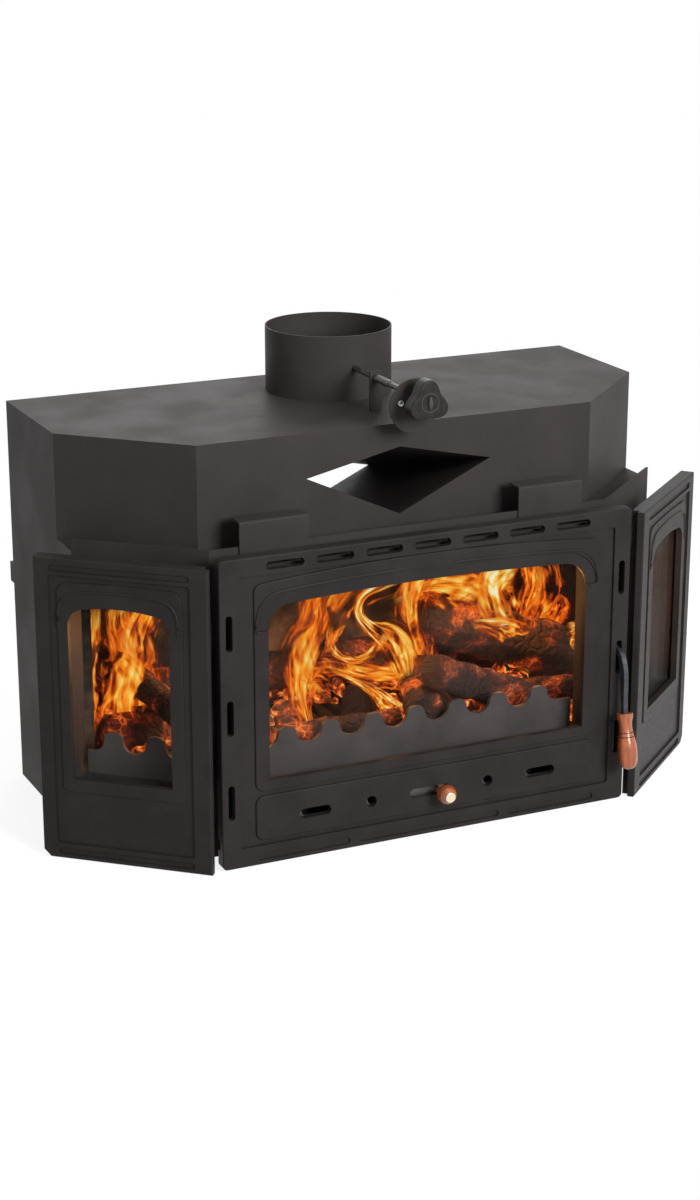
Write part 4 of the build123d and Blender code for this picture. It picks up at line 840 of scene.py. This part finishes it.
# Each tongue: its depth, its heat, and its points as x and z on the door's face with their widths
TONGUES = {
    "flame_left_curl": (0.20, 1.00, (
        (-0.176, 0.170, 0.010), (-0.186, 0.205, 0.012), (-0.193, 0.245, 0.022), (-0.186, 0.285, 0.030),
        (-0.170, 0.325, 0.032), (-0.155, 0.360, 0.036), (-0.118, 0.395, 0.030), (-0.09, 0.42, 0.012))),
    "flame_left_edge": (0.215, 0.80, (
        (-0.168, 0.222, 0.020), (-0.196, 0.262, 0.026), (-0.196, 0.300, 0.022), (-0.172, 0.334, 0.020),
        (-0.172, 0.372, 0.018), (-0.150, 0.410, 0.008))),
    "flame_swirl": (0.19, 1.05, (
        (-0.150, 0.330, 0.006), (-0.150, 0.302, 0.009), (-0.136, 0.282, 0.009), (-0.110, 0.272, 0.008),
        (-0.085, 0.283, 0.009), (-0.068, 0.303, 0.008), (-0.075, 0.318, 0.004))),
    "flame_spur": (0.185, 0.95, (
        (-0.152, 0.296, 0.008), (-0.146, 0.308, 0.008), (-0.136, 0.318, 0.005), (-0.126, 0.325, 0.002))),
    "flame_core": (0.18, 1.12, (
        (-0.040, 0.232, 0.016), (-0.046, 0.262, 0.030), (-0.062, 0.292, 0.032), (-0.090, 0.316, 0.018),
        (-0.108, 0.338, 0.012), (-0.098, 0.362, 0.016), (-0.055, 0.378, 0.020), (-0.02, 0.400, 0.012))),
    "flame_middle": (0.235, 0.88, (
        (-0.020, 0.228, 0.020), (-0.014, 0.268, 0.024), (-0.028, 0.312, 0.022), (-0.030, 0.352, 0.026),
        (-0.014, 0.392, 0.030), (0.0, 0.43, 0.010))),
    "flame_bed": (0.20, 0.86, (
        (-0.205, 0.262, 0.010), (-0.165, 0.268, 0.024), (-0.125, 0.258, 0.022), (-0.080, 0.244, 0.022),
        (-0.035, 0.238, 0.018), (0.0, 0.262, 0.006))),
    "flame_streak": (0.155, 1.10, (
        (-0.155, 0.268, 0.004), (-0.115, 0.246, 0.008), (-0.082, 0.222, 0.010), (-0.052, 0.200, 0.009),
        (-0.018, 0.182, 0.007), (0.012, 0.172, 0.004))),
    "flame_streak_low": (0.15, 1.05, (
        (-0.100, 0.236, 0.004), (-0.078, 0.212, 0.012), (-0.062, 0.190, 0.018), (-0.054, 0.170, 0.016),
        (-0.052, 0.150, 0.006))),
    "flame_top_middle": (0.26, 1.00, (
        (-0.060, 0.345, 0.012), (-0.010, 0.362, 0.026), (0.045, 0.352, 0.036), (0.085, 0.330, 0.028),
        (0.110, 0.300, 0.016), (0.128, 0.275, 0.006))),
    "flame_right_mass": (0.25, 1.18, (
        (0.150, 0.210, 0.010), (0.128, 0.262, 0.022), (0.105, 0.306, 0.036), (0.092, 0.345, 0.044),
        (0.110, 0.385, 0.042), (0.14, 0.44, 0.020))),
    "flame_right_sheet": (0.24, 0.95, (
        (0.060, 0.300, 0.010), (0.100, 0.288, 0.020), (0.135, 0.268, 0.022), (0.160, 0.240, 0.020),
        (0.172, 0.212, 0.010))),
    "flame_right_tip": (0.27, 0.72, (
        (0.150, 0.262, 0.016), (0.140, 0.305, 0.020), (0.150, 0.345, 0.020), (0.142, 0.385, 0.014),
        (0.13, 0.43, 0.006))),
    "flame_far_right": (0.28, 0.62, (
        (0.172, 0.250, 0.014), (0.188, 0.280, 0.024), (0.200, 0.305, 0.018), (0.190, 0.325, 0.006))),
    "flame_right_ball": (0.22, 1.05, (
        (0.215, 0.240, 0.008), (0.224, 0.256, 0.016), (0.222, 0.272, 0.012), (0.205, 0.276, 0.004))),
}


# Tongues seen through the side windows: depth, heat, and their points' x and z
SIDE_WIDTHS = (0.030, 0.036, 0.034, 0.026, 0.010)
SIDE_TONGUES = {
    "flame_side_a": (0.30, 1.05, (
        (-0.405, 0.100), (-0.398, 0.15), (-0.400, 0.20), (-0.385, 0.26), (-0.372, 0.315))),
    "flame_side_b": (0.26, 1.00, (
        (-0.345, 0.100), (-0.350, 0.16), (-0.335, 0.22), (-0.350, 0.28), (-0.340, 0.32))),
    "flame_side_c": (0.33, 0.90, (
        (-0.300, 0.100), (-0.292, 0.16), (-0.310, 0.22), (-0.285, 0.28), (-0.290, 0.32))),
    "flame_side_d": (0.31, 0.75, (
        (0.330, 0.100), (0.325, 0.16), (0.345, 0.22), (0.330, 0.29))),
}


class FIREPLACE_OT_flames(bpy.types.Operator):
    """Raise the flames over the logs"""

    bl_idname = "fireplace.flames"
    bl_label = "Flames"

    def execute(self, context):
        material = flame()
        for name, (depth, heat, points) in TONGUES.items():
            self.tongue(name, heat, [(behind(x, z, depth), width) for x, z, width in points], material)
        for name, (depth, heat, points) in SIDE_TONGUES.items():
            placed = [(inside(x, depth, z), SIDE_WIDTHS[i]) for i, (x, z) in enumerate(points)]
            self.tongue(name, heat, placed, material)
        return {"FINISHED"}

    def tongue(self, name, heat, placed, material):
        """A thin closed ribbon, wide at its belly, that bulges towards the viewer."""
        middle = smooth_path([point for point, _ in placed], 8)
        widths = smooth_path([Vector((width, 0, 0)) for _, width in placed], 8)
        count = len(middle)
        sides = 24
        build = bmesh.new()
        rings = tube_along(build, middle, [1.0] * count, sides)
        view = (middle[count // 2] - EYE).normalized()
        across, along = {}, {}
        for i, ring in enumerate(rings):
            ahead = middle[min(i + 1, count - 1)] - middle[max(i - 1, 0)]
            out = ahead.cross(view).normalized()
            width = max(widths[i].x, 0.001)
            for k, vertex in enumerate(ring):
                angle = 2 * math.pi * k / sides
                u = math.cos(angle)
                forward = (1 - u * u) * width * 0.45 + math.sin(angle) * 0.0015
                vertex.co = middle[i] + out * u * width * 1.35 - view * forward
                vertex.co.z = min(max(vertex.co.z, FLOOR_TOP + 0.002), FLAME_TOP)
                across[vertex] = u
                along[vertex] = i / (count - 1)
        across_values = [across[vertex] for vertex in build.verts]
        along_values = [along[vertex] for vertex in build.verts]
        piece = mesh_object(name, build, "case", material)
        give_attribute(piece, "across", across_values)
        give_attribute(piece, "along", along_values)
        give_attribute(piece, "warmth", [heat] * len(across_values))


class FIREPLACE_OT_stage(bpy.types.Operator):
    """Set the floor, the lamps and the camera"""

    bl_idname = "fireplace.stage"
    bl_label = "Studio"

    def execute(self, context):
        scene = context.scene
        scene.view_settings.view_transform = "Standard"
        build = bmesh.new()
        bmesh.ops.create_grid(build, x_segments=2, y_segments=2, size=6.0)
        mesh = bpy.data.meshes.new("floor")
        build.to_mesh(mesh)
        build.free()
        floor = bpy.data.objects.new("floor", mesh)
        scene.collection.objects.link(floor)
        mesh.transform(Matrix.Translation((0, 0, -0.0005)))
        mesh.materials.append(floor_white())
        world = bpy.data.worlds.new("studio")
        scene.world = world
        world.use_nodes = True
        self.world_nodes(world.node_tree)
        self.lamp("key", (0.6, -3.3, 1.7), (0.0, -0.2, 0.35), 1.2, 96.0)
        self.lamp("side", (-3.0, -1.0, 0.9), (-0.3, 0.0, 0.3), 1.4, 2.0)
        self.lamp("top", (-0.3, -0.3, 2.8), (0.0, 0.0, 0.4), 1.6, 7.0)
        self.lamp("rear", (1.0, 2.6, 1.8), (0.0, 0.0, 0.4), 1.8, 16.0)
        self.fire_light(scene)
        self.camera(scene)
        return {"FINISHED"}

    def world_nodes(self, tree):
        tree.nodes.clear()
        path = tree.nodes.new("ShaderNodeLightPath")
        even = tree.nodes.new("ShaderNodeBackground")
        even.inputs["Color"].default_value = (1.0, 1.0, 1.0, 1.0)
        even.inputs["Strength"].default_value = 0.22
        white = tree.nodes.new("ShaderNodeBackground")
        level = settings().background
        white.inputs["Color"].default_value = (level, level, level, 1.0)
        choose = tree.nodes.new("ShaderNodeMixShader")
        end = tree.nodes.new("ShaderNodeOutputWorld")
        seen = path.outputs["Is Camera Ray"]
        for kind in ("Is Glossy Ray", "Is Transmission Ray"):
            either = tree.nodes.new("ShaderNodeMath")
            either.operation = "MAXIMUM"
            tree.links.new(seen, either.inputs[0])
            tree.links.new(path.outputs[kind], either.inputs[1])
            seen = either.outputs[0]
        tree.links.new(seen, choose.inputs[0])
        tree.links.new(even.outputs[0], choose.inputs[1])
        tree.links.new(white.outputs[0], choose.inputs[2])
        tree.links.new(choose.outputs[0], end.inputs["Surface"])

    def lamp(self, name, place, target, size, watts):
        data = bpy.data.lights.new(name, "AREA")
        data.shape = "SQUARE"
        data.size = size
        data.energy = watts
        lamp = bpy.data.objects.new(name, data)
        lamp.location = place
        aim = Vector(target) - Vector(place)
        lamp.rotation_euler = aim.to_track_quat("-Z", "Y").to_euler()
        bpy.context.scene.collection.objects.link(lamp)

    def fire_light(self, scene):
        """Warm light inside the firebox."""
        for name, place, watts in (
            ("fire_left", (-0.22, at(0.20), 0.25), 1.3),
            ("fire_middle", (0.02, at(0.17), 0.28), 1.5),
            ("fire_right", (0.24, at(0.22), 0.25), 1.2),
        ):
            data = bpy.data.lights.new(name, "POINT")
            data.color = (1.0, 0.42, 0.12)
            data.energy = watts
            data.shadow_soft_size = 0.06
            lamp = bpy.data.objects.new(name, data)
            lamp.location = place
            scene.collection.objects.link(lamp)

    def camera(self, scene):
        """The photograph's viewpoint."""
        data = bpy.data.cameras.new("viewpoint")
        data.sensor_fit = "VERTICAL"
        data.sensor_height = SENSOR_HEIGHT
        data.lens = FOCAL_PIXELS / PICTURE_HEIGHT * SENSOR_HEIGHT
        data.clip_end = 60.0
        camera = bpy.data.objects.new("viewpoint", data)
        level = math.cos(VIEW_PITCH)
        aim = Vector((
            math.sin(VIEW_YAW) * level, math.cos(VIEW_YAW) * level, -math.sin(VIEW_PITCH)))
        camera.location = EYE
        camera.rotation_euler = aim.to_track_quat("-Z", "Y").to_euler()
        scene.collection.objects.link(camera)
        scene.camera = camera


PIECES = (
    FIREPLACE_OT_finishes,
    FIREPLACE_OT_ridges,
    FIREPLACE_OT_damper_knob,
    FIREPLACE_OT_grip_rings,
    FIREPLACE_OT_logs,
    FIREPLACE_OT_coals,
    FIREPLACE_OT_flames,
    FIREPLACE_OT_stage,
)


class FIREPLACE_PT_panel(bpy.types.Panel):
    """Sizes, colours and pieces of the fireplace insert"""

    bl_idname = "FIREPLACE_PT_panel"
    bl_label = "Fireplace insert"
    bl_space_type = "VIEW_3D"
    bl_region_type = "UI"
    bl_category = "Fireplace"

    def draw(self, context):
        layout = self.layout
        for name in FireplaceSettings.__annotations__:
            layout.prop(context.scene.fireplace, name)
        for piece in PIECES:
            layout.operator(piece.bl_idname)


CLASSES = (FireplaceSettings, *PIECES, FIREPLACE_PT_panel)


def register():
    for kind in CLASSES:
        bpy.utils.register_class(kind)
    bpy.types.Scene.fireplace = PointerProperty(type=FireplaceSettings)


def unregister():
    del bpy.types.Scene.fireplace
    for kind in reversed(CLASSES):
        bpy.utils.unregister_class(kind)


def main():
    register()
    for piece in PIECES:
        group, action = piece.bl_idname.split(".")
        getattr(getattr(bpy.ops, group), action)()


if __name__ == "__main__":
    main()
